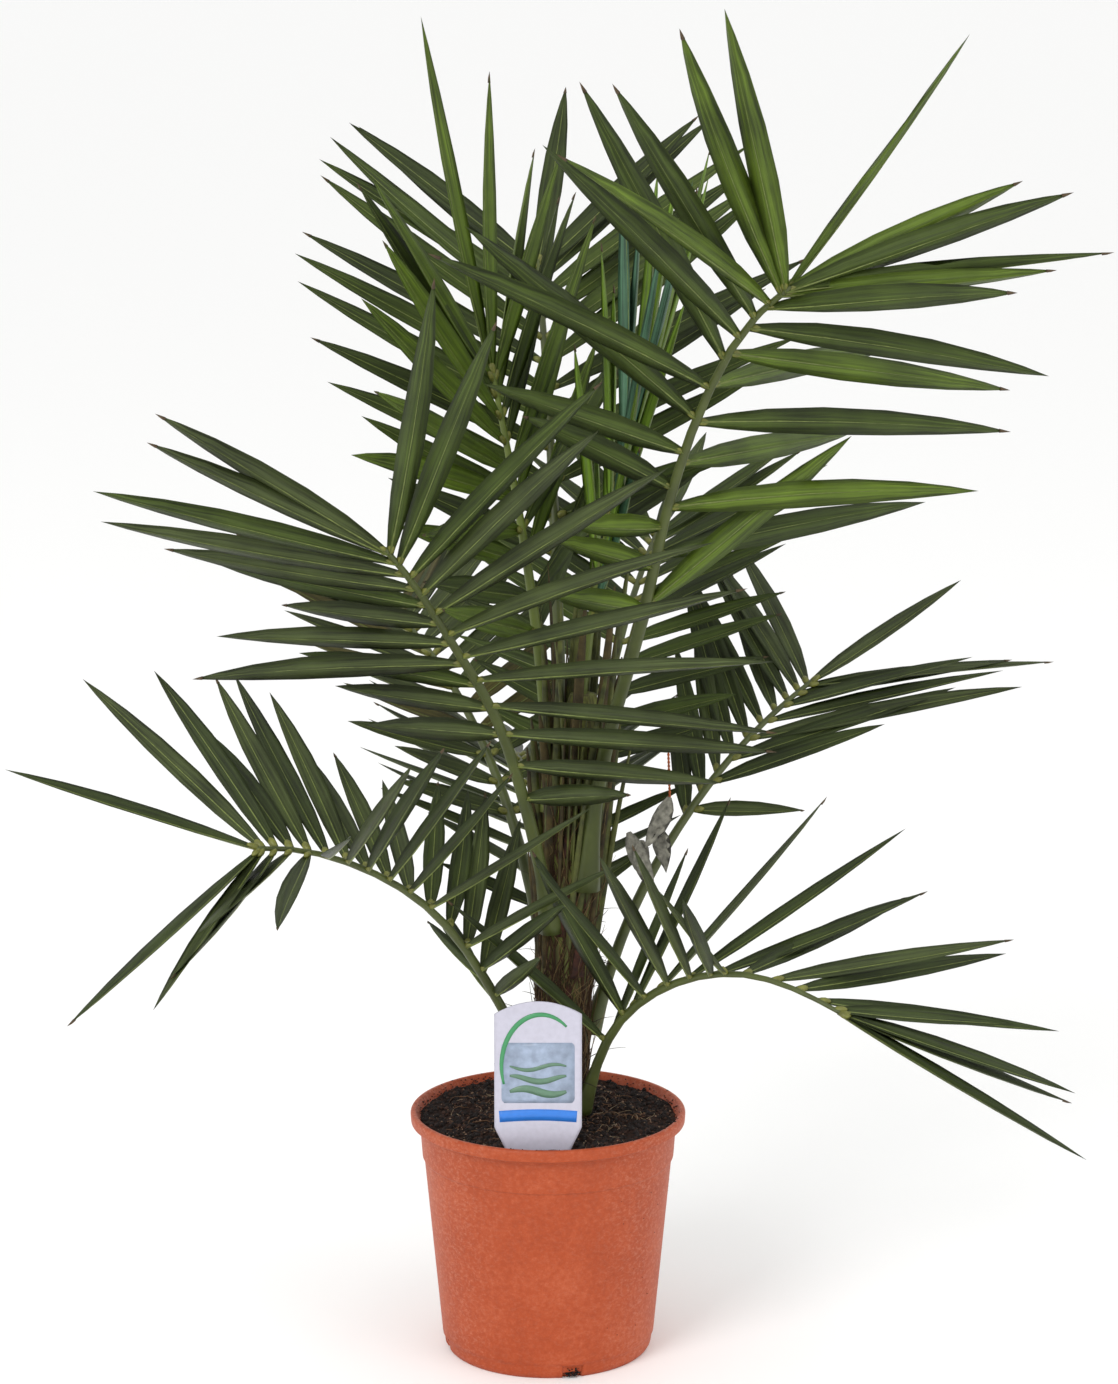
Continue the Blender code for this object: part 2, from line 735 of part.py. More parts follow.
def spans_of(frond):
    """The nodes of a frond with the shares between which each one's rib runs."""
    if not frond.split:
        return [(frond.name, 0.0, 1.0)]
    gap = GAP / (frond.stalk + frond.rib) / 2
    return [(frond.name + "_foot", 0.0, frond.split - gap), (frond.name + "_tip", frond.split + gap, 1.0)]


def grow_leaflets(ribs, crowd):
    """The leaflets of every frond that stand clear, by node name."""
    grown = {}
    for rib in ribs:
        rng = np.random.default_rng(rib.frond.seed)
        plans = [plan for fan in rib.frond.fans for plan in fan_plan(rib, fan, rng)[::-1]]
        for plan in plans:
            owner = owner_of(rib.frond, plan.share)
            leaflet = clear_leaflet(rib, plan, owner, crowd)
            if leaflet:
                crowd.add(owner, *leaflet.solid())
                grown.setdefault(owner, []).append(leaflet)
    return grown


def keep_largest(obj):
    """Drops every loose scrap but the largest body."""
    shape = bmesh.new()
    shape.from_mesh(obj.data)
    left = set(shape.verts)
    bodies = []
    while left:
        body = set()
        queue = [left.pop()]
        while queue:
            vert = queue.pop()
            body.add(vert)
            for edge in vert.link_edges:
                other = edge.other_vert(vert)
                if other in left:
                    left.discard(other)
                    queue.append(other)
        bodies.append(body)
    bodies.sort(key=len)
    for body in bodies[:-1]:
        bmesh.ops.delete(shape, geom=list(body), context="VERTS")
    shape.to_mesh(obj.data)
    shape.free()
    return len(bodies)


def make_frond(rib, grown, stem_cutter, parts, materials):
    """The nodes of a frond: rib and leaflets joined by one union, trimmed clear of the stem."""
    for name, start, end in spans_of(rib.frond):
        blade = rib.tube(name, start, end, 0.0, parts)
        leaves = new_collection(name + "_leaves", helper=True)
        for number, leaflet in enumerate(grown.get(name, [])):
            mesh_object(f"{name}_leaf_{number}", *leaflet.solid(), leaves)
        boolean(blade, leaves, "UNION")
        for leaf in list(leaves.objects):
            bpy.data.objects.remove(leaf)
        bpy.data.collections.remove(leaves)
        if start == 0.0:
            boolean(blade, stem_cutter, "DIFFERENCE")
        bodies = keep_largest(blade)
        count = len(grown.get(name, []))
        print(f"{name}: {count} leaflets, {len(blade.data.polygons)} faces, {bodies} bodies")
        blade.data.materials.append(materials[rib.frond.colour])


def main():
    """Builds the potted palm."""
    clear_scene()
    parts = new_collection("potted_date_palm")
    cutters = new_collection("cutters", helper=True)
    pot = make_pot(parts, cutters)
    soil = make_soil(parts, cutters)
    label = make_label(parts)
    stem = make_stem(parts)
    stem_cutter = set_helper(stem_tube("stem_clearance", GAP, cutters))
    materials = {
        LEAF_GREEN: named_material("palm_leaf", LEAF_GREEN, 0.5),
        YOUNG_GREEN: named_material("young_palm_leaf", YOUNG_GREEN, 0.45),
    }
    ribs = [Rib(frond) for frond in FRONDS]
    crowd = Crowd()
    for obj in (pot, soil, label, stem):
        crowd.add_object(obj.name, obj)
    for rib in ribs:
        for name, start, end in spans_of(rib.frond):
            shell = rib.tube(name + "_shell", start, end, CLEARANCE, cutters)
            crowd.add_object(name, shell)
            bpy.data.objects.remove(shell)
    grown = grow_leaflets(ribs, crowd)
    for rib in ribs:
        make_frond(rib, grown, stem_cutter, parts, materials)


if __name__ == "__main__":
    main()
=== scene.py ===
"""Looks of a young canary island date palm in a nursery pot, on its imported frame.

Metres, Z up, with the middle of the pot's underside at the origin and the label facing -Y. The fronds
follow the same rule as the solids do: a rib bends by a few named leans, and a fan of leaflets stands
down each side of it. Here each leaflet is a thin folded blade with a midrib and a yellow-green knob at
its foot.
"""

import logging
import math
from dataclasses import dataclass, field
from enum import Enum

import bpy
import numpy as np
from mathutils.bvhtree import BVHTree
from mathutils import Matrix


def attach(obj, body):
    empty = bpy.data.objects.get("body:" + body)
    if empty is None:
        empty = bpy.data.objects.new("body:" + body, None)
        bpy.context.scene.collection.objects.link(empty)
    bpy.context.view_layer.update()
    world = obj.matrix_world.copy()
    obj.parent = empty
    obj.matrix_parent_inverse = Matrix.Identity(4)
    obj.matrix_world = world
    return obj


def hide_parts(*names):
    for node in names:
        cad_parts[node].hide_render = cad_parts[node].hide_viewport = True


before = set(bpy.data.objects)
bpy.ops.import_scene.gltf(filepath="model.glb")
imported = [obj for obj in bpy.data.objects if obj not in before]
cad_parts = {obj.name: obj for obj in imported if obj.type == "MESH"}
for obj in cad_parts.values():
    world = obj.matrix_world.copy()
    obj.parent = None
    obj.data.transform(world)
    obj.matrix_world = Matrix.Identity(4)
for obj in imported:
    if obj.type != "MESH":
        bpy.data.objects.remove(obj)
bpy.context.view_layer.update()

log = logging.getLogger("potted_palm")

BODY = "root"
GAP = 0.0003
SOIL_TOP = 0.1655


def linear(hexcode: str) -> tuple[float, float, float, float]:
    """Turns an sRGB hex value to linear colour.

    Args:
        hexcode: Six hex digits.

    Returns:
        Red, green and blue in linear light, and an alpha of one.
    """
    shares = [int(hexcode[i : i + 2], 16) / 255 for i in (0, 2, 4)]
    low = [s / 12.92 if s <= 0.04045 else ((s + 0.055) / 1.055) ** 2.4 for s in shares]
    return (*low, 1.0)


def add_node(
    tree: bpy.types.NodeTree, kind: str, settings: dict, links: dict | None = None
) -> bpy.types.Node:
    """Adds a node with its settings and links.

    Args:
        tree: The material's node tree.
        kind: Blender's name of the node.
        settings: Values by property name, or by input name or number; "stops" fills a colour ramp.
        links: Output sockets by the name or number of the input they feed.

    Returns:
        The node.
    """
    made = tree.nodes.new(kind)
    for key, value in settings.items():
        if key == "stops":
            for spot, (place, colour) in enumerate(value):
                stop = made.color_ramp.elements[spot] if spot < 2 else made.color_ramp.elements.new(place)
                stop.position = place
                stop.color = colour
        elif isinstance(key, int) or key in made.inputs:
            made.inputs[key].default_value = value
        else:
            setattr(made, key, value)
    for key, socket in (links or {}).items():
        tree.links.new(socket, made.inputs[key])
    return made


def noise(
    tree: bpy.types.NodeTree,
    spot: bpy.types.NodeSocket,
    size: float,
    detail: float = 2.0,
    roughness: float = 0.5,
) -> bpy.types.NodeSocket:
    """Adds noise of a typical size in metres.

    Args:
        tree: The material's node tree.
        spot: The places it is looked up at.
        size: Its size.
        detail: How many finer layers it has.
        roughness: How much the finer layers count.

    Returns:
        Its grey output.
    """
    settings = {"Scale": 1 / size, "Detail": detail, "Roughness": roughness}
    return add_node(tree, "ShaderNodeTexNoise", settings, {"Vector": spot}).outputs["Fac"]


def ramp(tree: bpy.types.NodeTree, grey: bpy.types.NodeSocket, *stops: tuple) -> bpy.types.NodeSocket:
    """Adds a colour ramp: stops are places with linear colours, the two outer ones first."""
    return add_node(tree, "ShaderNodeValToRGB", {"stops": stops}, {"Fac": grey}).outputs["Color"]


def stretched(
    tree: bpy.types.NodeTree, spot: bpy.types.NodeSocket, scale: tuple[float, float, float]
) -> bpy.types.NodeSocket:
    """Adds a mapping that multiplies the places by a scale."""
    return add_node(tree, "ShaderNodeMapping", {"Scale": scale}, {"Vector": spot}).outputs["Vector"]


def ranged(tree: bpy.types.NodeTree, grey: bpy.types.NodeSocket, **limits: float) -> bpy.types.NodeSocket:
    """Adds a map range with the limits from_min, from_max, to_min and to_max."""
    settings = {name.replace("_", " ").title(): value for name, value in limits.items()}
    return add_node(tree, "ShaderNodeMapRange", settings, {"Value": grey}).outputs["Result"]


def maths(
    tree: bpy.types.NodeTree, operation: str, one: bpy.types.NodeSocket, other: bpy.types.NodeSocket
) -> bpy.types.NodeSocket:
    """Adds a sum or another operation on two grey outputs."""
    return add_node(tree, "ShaderNodeMath", {"operation": operation}, {0: one, 1: other}).outputs[0]


def relief(
    tree: bpy.types.NodeTree,
    shader: bpy.types.Node,
    height: bpy.types.NodeSocket,
    strength: float,
    depth: float,
) -> None:
    """Gives a shader relief from a grey output, of a strength and a depth in metres."""
    settings = {"Strength": strength, "Distance": depth}
    normal = add_node(tree, "ShaderNodeBump", settings, {"Height": height}).outputs["Normal"]
    tree.links.new(normal, shader.inputs["Normal"])


def new_material(name: str) -> tuple[bpy.types.Material, bpy.types.NodeTree, bpy.types.Node]:
    """Starts a material.

    Args:
        name: The material's name.

    Returns:
        The material, its node tree and its Principled shader.
    """
    material = bpy.data.materials.new(name)
    material.use_nodes = True
    return material, material.node_tree, material.node_tree.nodes["Principled BSDF"]


@dataclass
class Shape:
    """A mesh as arrays: points, quads, triangles and one UV to a point."""

    verts: np.ndarray
    quads: np.ndarray
    tris: np.ndarray
    uv: np.ndarray

    def volume(self) -> float:
        """Six times the enclosed volume, negative where the faces point inwards."""
        halves = np.concatenate([self.tris, self.quads[:, [0, 1, 2]], self.quads[:, [0, 2, 3]]])
        a, b, c = (self.verts[halves[:, k]] for k in range(3))
        return float(np.einsum("ij,ij->i", a, np.cross(b, c)).sum())

    def outward(self) -> "Shape":
        """The shape with its faces pointing outwards."""
        if self.volume() >= 0:
            return self
        return Shape(self.verts, self.quads[:, ::-1], self.tris[:, ::-1], self.uv)


def no_faces(corners: int) -> np.ndarray:
    """An empty array of faces."""
    return np.zeros((0, corners), np.int64)


def joined(shapes: list[Shape]) -> Shape:
    """Joins shapes into one.

    Args:
        shapes: The shapes, at least one.

    Returns:
        One shape with the points and faces of all.
    """
    starts = np.cumsum([0] + [len(s.verts) for s in shapes[:-1]])
    return Shape(
        np.concatenate([s.verts for s in shapes]),
        np.concatenate([s.quads + start for s, start in zip(shapes, starts)]),
        np.concatenate([s.tris + start for s, start in zip(shapes, starts)]),
        np.concatenate([s.uv for s in shapes]),
    )


def ring_quads(rows: int, sides: int) -> np.ndarray:
    """The quads between rows of points that close round into rings.

    Args:
        rows: How many rings follow each other.
        sides: How many points a ring has.

    Returns:
        Indices of quads, where point (row, side) is row * sides + side.
    """
    row, side = np.meshgrid(np.arange(rows - 1), np.arange(sides), indexing="ij")
    after = (side + 1) % sides
    corners = [row * sides + side, row * sides + after, (row + 1) * sides + after, (row + 1) * sides + side]
    return np.stack(corners, -1).reshape(-1, 4)


def capped(rings: np.ndarray, uv: np.ndarray, first: np.ndarray, last: np.ndarray) -> Shape:
    """A closed body from rings of points, with a pole at each end.

    Args:
        rings: Points by row and side, of shape (rows, sides, 3).
        uv: Their UVs, of shape (rows, sides, 2).
        first: The pole before the first ring.
        last: The pole after the last ring.

    Returns:
        The body, facing outwards.
    """
    rows, sides = rings.shape[:2]
    side = np.arange(sides)
    after = (side + 1) % sides
    end = rows * sides
    foot = np.stack([after, side, np.full(sides, end)], -1)
    top = np.stack([(rows - 1) * sides + side, (rows - 1) * sides + after, np.full(sides, end + 1)], -1)
    verts = np.concatenate([rings.reshape(-1, 3), first[None], last[None]])
    flat = np.concatenate([uv.reshape(-1, 2), uv[0].mean(0)[None], uv[-1].mean(0)[None]])
    return Shape(verts, ring_quads(rows, sides), np.concatenate([foot, top]), flat).outward()


def sweep(path: np.ndarray, radii: np.ndarray, sides: int, flat: float = 1.0) -> Shape:
    """A tube: ring k is path[k] + radii[k] * (cos a * aside + flat * sin a * up), a going round once.

    Args:
        path: Points along the tube, of shape (n, 3).
        radii: The radius at each point.
        sides: How many points go round.
        flat: The tube's thickness as a share of its width.

    Returns:
        The closed tube, with UVs in metres along it.
    """
    way = np.gradient(path, axis=0)
    way /= np.linalg.norm(way, axis=1, keepdims=True)
    span = path[-1] - path[0]
    guide = np.eye(3)[np.argmin(np.abs(span))]
    aside = np.cross(way, guide)
    aside /= np.linalg.norm(aside, axis=1, keepdims=True)
    up = np.cross(aside, way)
    turn = np.linspace(0, 2 * math.pi, sides, endpoint=False)
    circle = np.cos(turn)[None, :, None] * aside[:, None] + flat * np.sin(turn)[None, :, None] * up[:, None]
    rings = path[:, None] + radii[:, None, None] * circle
    run = np.concatenate([[0], np.cumsum(np.linalg.norm(np.diff(path, axis=0), axis=1))])
    uv = np.stack(np.broadcast_arrays(turn[None, :] / math.pi - 1, run[:, None]), -1)
    return capped(rings, uv, path[0], path[-1])


def rounded(profile: np.ndarray, reach: float, steps: int = 4) -> np.ndarray:
    """Rounds a profile's corners: each corner c becomes the curve (1-t)^2 a + 2t(1-t) c + t^2 b.

    Args:
        profile: Points of the profile, of shape (n, 2); its ends stay.
        reach: How far before and after a corner its curve starts and ends, in metres.
        steps: Points to a corner.

    Returns:
        The longer profile.
    """
    before, corner, after = profile[:-2], profile[1:-1], profile[2:]
    back, on = before - corner, after - corner
    back_length = np.linalg.norm(back, axis=1, keepdims=True)
    on_length = np.linalg.norm(on, axis=1, keepdims=True)
    a = corner + back / back_length * np.minimum(reach, 0.45 * back_length)
    b = corner + on / on_length * np.minimum(reach, 0.45 * on_length)
    t = np.linspace(0, 1, steps)[None, :, None]
    curve = (1 - t) ** 2 * a[:, None] + 2 * t * (1 - t) * corner[:, None] + t**2 * b[:, None]
    return np.concatenate([profile[:1], curve.reshape(-1, 2), profile[-1:]])


def rough(points: np.ndarray, size: float, rng: np.random.Generator, waves: int = 28) -> np.ndarray:
    """Smooth random relief: the mean of waves cos(k.p + phase) of random direction and length near size.

    Args:
        points: Places, of shape (..., 3).
        size: The relief's typical width in metres.
        rng: Where the random numbers come from.
        waves: How many waves are added.

    Returns:
        Heights of about -1 to 1, of shape (...).
    """
    way = rng.normal(size=(waves, 3))
    way /= np.linalg.norm(way, axis=1, keepdims=True)
    way *= 2 * math.pi / (size * rng.uniform(0.6, 1.6, (waves, 1)))
    phase = rng.uniform(0, 2 * math.pi, waves)
    return np.cos(points @ way.T + phase).sum(-1) / math.sqrt(waves)


def place(
    name: str, shape: Shape, material: bpy.types.Material, slot: str, nodes: tuple[str, ...] = ()
) -> None:
    """Puts a shape into the scene as a piece that rides on the palm.

    Args:
        name: The piece's name.
        shape: Its mesh.
        material: Its finish.
        slot: The record's material slot that the finish stands for; it is not used.
        nodes: The solids it takes the place of.
    """
    mesh = bpy.data.meshes.new(name)
    corners = np.concatenate([shape.quads.ravel(), shape.tris.ravel()]).astype(np.int32)
    sizes = np.concatenate([np.full(len(shape.quads), 4), np.full(len(shape.tris), 3)]).astype(np.int32)
    mesh.vertices.add(len(shape.verts))
    mesh.vertices.foreach_set("co", shape.verts.astype(np.float32).ravel())
    mesh.loops.add(len(corners))
    mesh.loops.foreach_set("vertex_index", corners)
    mesh.polygons.add(len(sizes))
    mesh.polygons.foreach_set("loop_start", (np.cumsum(sizes) - sizes).astype(np.int32))
    layer = mesh.uv_layers.new(name="UVMap")
    layer.data.foreach_set("uv", shape.uv[corners].astype(np.float32).ravel())
    mesh.update(calc_edges=True)
    mesh.validate()
    mesh.shade_smooth()
    mesh.materials.append(material)
    obj = bpy.data.objects.new(name, mesh)
    bpy.context.scene.collection.objects.link(obj)
    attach(obj, BODY)
    if nodes:
        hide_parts(*nodes)
    log.info("%s: %d faces", name, len(sizes))


@dataclass(frozen=True)
class MouldedPolypropylene:
    """Injection moulded polypropylene, satin terracotta, scuffed paler by handling and a little dusty; the
    pale scuffs are laid on more strongly toward its left and right sides as painted sheen.
    """

    name: str = "moulded_polypropylene"
    deep: str = "9A3D17"
    body: str = "A5441C"
    lighter: str = "B25430"
    # The pale tint of scuffs and dust, laid on more strongly toward the pot's left and right sides as painted
    # sheen.
    scuff_and_sheen_tint: str = "CE8E76"
    # Across X, from the first of these distances to the second, the pale scuffs grow into a painted sheen
    # toward the pot's left and right sides.
    sheen_from: float = 0.030
    sheen_to: float = 0.095
    patch_size: float = 0.045
    mottle_size: float = 0.004
    mottle_share: float = 0.62
    scuff_size: float = 1 / 330
    grain_size: float = 0.0009

    def made(self) -> bpy.types.Material:
        """The material: faint patches, a mottle of a few millimetres, pale scuffs that grow into painted
        sheen toward the left and right sides, and a moulded grain.
        """
        material, tree, shader = new_material(self.name)
        spot = add_node(tree, "ShaderNodeTexCoord", {}).outputs["Object"]
        mottle = noise(tree, spot, self.mottle_size, 5.0, 0.7)
        both = add_node(
            tree, "ShaderNodeMix", {0: self.mottle_share}, {2: noise(tree, spot, self.patch_size), 3: mottle}
        )
        stops = (0.34, linear(self.deep)), (0.66, linear(self.lighter)), (0.50, linear(self.body))
        tone = ramp(tree, both.outputs[0], *stops)
        scuffs = noise(tree, stretched(tree, spot, (1.0, 1.0, 1.5)), self.scuff_size, 6.0, 0.75)
        # Painted sheen: the scuffs are weighted by the distance across X, so the pot pales toward its left
        # and right sides.
        places = add_node(tree, "ShaderNodeSeparateXYZ", {}, {"Vector": spot})
        across = add_node(tree, "ShaderNodeMath", {"operation": "ABSOLUTE"}, {0: places.outputs["X"]})
        lighter = ranged(
            tree, across.outputs[0], from_min=self.sheen_from, from_max=self.sheen_to, to_min=0.16, to_max=0.80
        )
        scuffs_and_sheen = maths(tree, "MULTIPLY", ranged(tree, scuffs, from_min=0.48, from_max=0.74), lighter)
        settings = {"data_type": "RGBA", 7: linear(self.scuff_and_sheen_tint)}
        colour = add_node(tree, "ShaderNodeMix", settings, {0: scuffs_and_sheen, 6: tone})
        tree.links.new(colour.outputs[2], shader.inputs["Base Color"])
        tree.links.new(ranged(tree, mottle, to_min=0.46, to_max=0.62), shader.inputs["Roughness"])
        relief(tree, shader, noise(tree, spot, self.grain_size), 0.15, 0.0004)
        shader.inputs["IOR"].default_value = 1.49
        shader.inputs["Specular IOR Level"].default_value = 0.36
        return material


@dataclass(frozen=True)
class Compost:
    """Damp peat and bark compost: brown and fibrous on its lumps, with painted shade that makes its hollows
    almost black.
    """

    name: str = "damp_compost"
    # The near-black of the hollows is painted shade.
    painted_hollow_shade: str = "140A07"
    lump: str = "3A241A"
    crumb_size: float = 0.0035

    def made(self) -> bpy.types.Material:
        """The material: crumbly noise in colour and relief, with no gloss; the colour darkens where the
        relief sinks, as painted shade in the hollows.
        """
        material, tree, shader = new_material(self.name)
        spot = add_node(tree, "ShaderNodeTexCoord", {}).outputs["Object"]
        crumbs = noise(tree, spot, self.crumb_size, 6.0, 0.75)
        # Painted shade: the same noise that sinks the relief also darkens the colour.
        tone = ramp(tree, crumbs, (0.36, linear(self.painted_hollow_shade)), (0.70, linear(self.lump)))
        tree.links.new(tone, shader.inputs["Base Color"])
        relief(tree, shader, crumbs, 0.9, 0.0015)
        shader.inputs["Roughness"].default_value = 0.95
        shader.inputs["Specular IOR Level"].default_value = 0.25
        return material


@dataclass(frozen=True)
class PlainMatter:
    """A small dull thing of one kind, such as a root or ink: its own tint with a faint mottle."""

    name: str
    tint: str
    roughness: float = 0.75
    mottle: float = 0.18
    mottle_size: float = 0.004

    def made(self) -> bpy.types.Material:
        """The material: the tint, darkened a little by noise."""
        material, tree, shader = new_material(self.name)
        spot = add_node(tree, "ShaderNodeTexCoord", {}).outputs["Object"]
        grey = noise(tree, spot, self.mottle_size, 3.0)
        base = np.array(linear(self.tint))
        dark = tuple(base[:3] * (1 - 2 * self.mottle)) + (1.0,)
        light = tuple(np.minimum(base[:3] * (1 + self.mottle), 1.0)) + (1.0,)
        tree.links.new(ramp(tree, grey, (0.3, dark), (0.7, light)), shader.inputs["Base Color"])
        relief(tree, shader, grey, 0.3, 0.0004)
        shader.inputs["Roughness"].default_value = self.roughness
        return material


@dataclass(frozen=True)
class SheathBark:
    """Packed leaf bases of a young stem: olive and yellow-green skin in long streaks, browning to fibre."""

    name: str = "leaf_base_bark"
    brown: str = "33240F"
    olive: str = "4B4A1E"
    fresh: str = "6B702C"
    streak: float = 0.0035

    def made(self) -> bpy.types.Material:
        """The material: noise drawn out upwards eleven times, browner towards the soil."""
        material, tree, shader = new_material(self.name)
        spot = add_node(tree, "ShaderNodeTexCoord", {}).outputs["Object"]
        streaks = noise(tree, stretched(tree, spot, (1.0, 1.0, 0.09)), self.streak, 5.0, 0.65)
        height = add_node(tree, "ShaderNodeSeparateXYZ", {}, {"Vector": spot}).outputs["Z"]
        fade = ranged(tree, height, from_min=0.17, from_max=0.34, to_min=-0.16, to_max=0.06)
        lifted = maths(tree, "ADD", streaks, fade)
        stops = (0.34, linear(self.brown)), (0.66, linear(self.fresh)), (0.50, linear(self.olive))
        tree.links.new(ramp(tree, lifted, *stops), shader.inputs["Base Color"])
        relief(tree, shader, streaks, 0.7, 0.0012)
        shader.inputs["Roughness"].default_value = 0.72
        return material


@dataclass(frozen=True)
class LeafSkin:
    """Waxy leaf skin: one green to a spray, pale and dark streaks along the blade and a soft sheen.

    The veins of a real leaflet are 0.4 mm apart; they are drawn about 1 mm apart, so that they show.
    """

    name: str
    tint: str
    roughness: float = 0.46
    veins: float = 7.0
    streak: float = 5.0
    streak_run: float = 9.0
    streak_share: float = 0.66
    mottle_size: float = 1 / 22
    darkest: float = 0.46
    palest: float = 1.9

    def made(self) -> bpy.types.Material:
        """The material: the tint, mottled and streaked, with relief by waves across the blade's own UV."""
        material, tree, shader = new_material(self.name)
        points = add_node(tree, "ShaderNodeTexCoord", {}).outputs
        broad = noise(tree, points["Object"], self.mottle_size, 3.0)
        drawn = stretched(tree, points["UV"], (self.streak, self.streak_run, 0.0))
        streaks = noise(tree, drawn, 1.0, 4.0, 0.6)
        both = add_node(tree, "ShaderNodeMix", {0: self.streak_share}, {2: broad, 3: streaks})
        base = np.array(linear(self.tint)[:3])
        dark, pale = (*(base * self.darkest), 1.0), (*np.minimum(base * self.palest, 1.0), 1.0)
        tree.links.new(ramp(tree, both.outputs[0], (0.38, dark), (0.64, pale)), shader.inputs["Base Color"])
        settings = {"Scale": 1.0, "Distortion": 0.0, "Detail": 0.0}
        across = stretched(tree, points["UV"], (self.veins, 0.0, 0.0))
        veins = add_node(tree, "ShaderNodeTexWave", settings, {"Vector": across})
        relief(tree, shader, veins.outputs["Fac"], 0.4, 0.0003)
        shader.inputs["Roughness"].default_value = self.roughness
        shader.inputs["IOR"].default_value = 1.45
        shader.inputs["Specular IOR Level"].default_value = 0.32
        return material


class Tint(Enum):
    """The greens of the leaflets, one to a spray; one of them has a painted bluish reflection mixed in."""

    DEEP = "2C3614"
    DULL = "384120"
    MID = "364315"
    FRESH = "4A5C18"
    YOUNG = "5A7420"
    # The young leaflets' green with a painted bluish reflection mixed in.
    BLUE = "40604A"
    OLIVE = "47431F"


class Side(Enum):
    """The side of a rib that a fan stands on, seen from its foot with its upper face up."""

    RIGHT = 1
    LEFT = -1


@dataclass(frozen=True)
class Fan:
    """Leaflets down one side of a rib; each run of numbers goes from the foot to the tip.

    Angles are in degrees: splay away from the rib, rise above its plane, and twist of the blade's face.
    """

    side: Side
    count: int
    splay: tuple[float, ...]
    rise: tuple[float, ...]
    length: tuple[float, ...]
    droop: float = 0.04
    stagger: tuple[float, float] = (3.0, 4.0)
    span: tuple[float, float] = (0.0, 1.0)
    twist: float = 0.0


def end_leaflet(side: Side, splay: float, rise: float, length: float, twist: float = 0.0) -> Fan:
    """A fan of one leaflet at the rib's tip.

    Args:
        side: Its side.
        splay: Degrees away from the rib.
        rise: Degrees above the frond's plane.
        length: Its length in metres.
        twist: Degrees that its face is turned.

    Returns:
        The fan.
    """
    return Fan(side, 1, (splay,), (rise,), (length,), 0.03, (0.0, 0.0), (1.0, 1.0), twist)


def even_fans(
    count: int,
    splay: tuple[float, ...],
    rise: tuple[float, ...],
    length: tuple[float, ...],
    twist: float = 0.0,
) -> tuple[Fan, ...]:
    """A like fan down each side.

    Args:
        count: Leaflets to a side.
        splay: Degrees away from the rib.
        rise: Degrees above the frond's plane.
        length: Lengths in metres.
        twist: Degrees that each face is turned.

    Returns:
        The two fans.
    """
    return tuple(Fan(side, count, splay, rise, length, 0.03, twist=twist) for side in Side)


@dataclass(frozen=True)
class Frond:
    """A rib by its compass direction, foot and leans from upright, with its fans and its greens."""

    name: str
    azimuth: float
    foot: float
    reach: float
    leans: tuple[float, ...]
    stalk: float
    rib: float
    fans: tuple[Fan, ...]
    roll: float = 0.0
    thick: float = 0.0052
    width: float = 0.016
    split: float = 0.0
    slot: str = "palm_leaf"
    seed: int = 1
    tints: tuple[Tint, Tint] = (Tint.MID, Tint.DEEP)

    def spans(self) -> list[tuple[str, float, float]]:
        """The solids that hold this frond, each with the shares between which its rib runs."""
        if not self.split:
            return [(self.name, 0.0, 1.0)]
        gap = GAP / (self.stalk + self.rib) / 2
        return [(self.name + "_foot", 0.0, self.split - gap), (self.name + "_tip", self.split + gap, 1.0)]

    def nodes(self) -> tuple[str, ...]:
        """The names of the solids that hold this frond."""
        return tuple(name for name, _, _ in self.spans())

    def owner(self, share: float) -> str:
        """The solid that holds a share of the rib."""
        return self.nodes()[0] if share < self.split or not self.split else self.nodes()[1]


R, L = Side.RIGHT, Side.LEFT

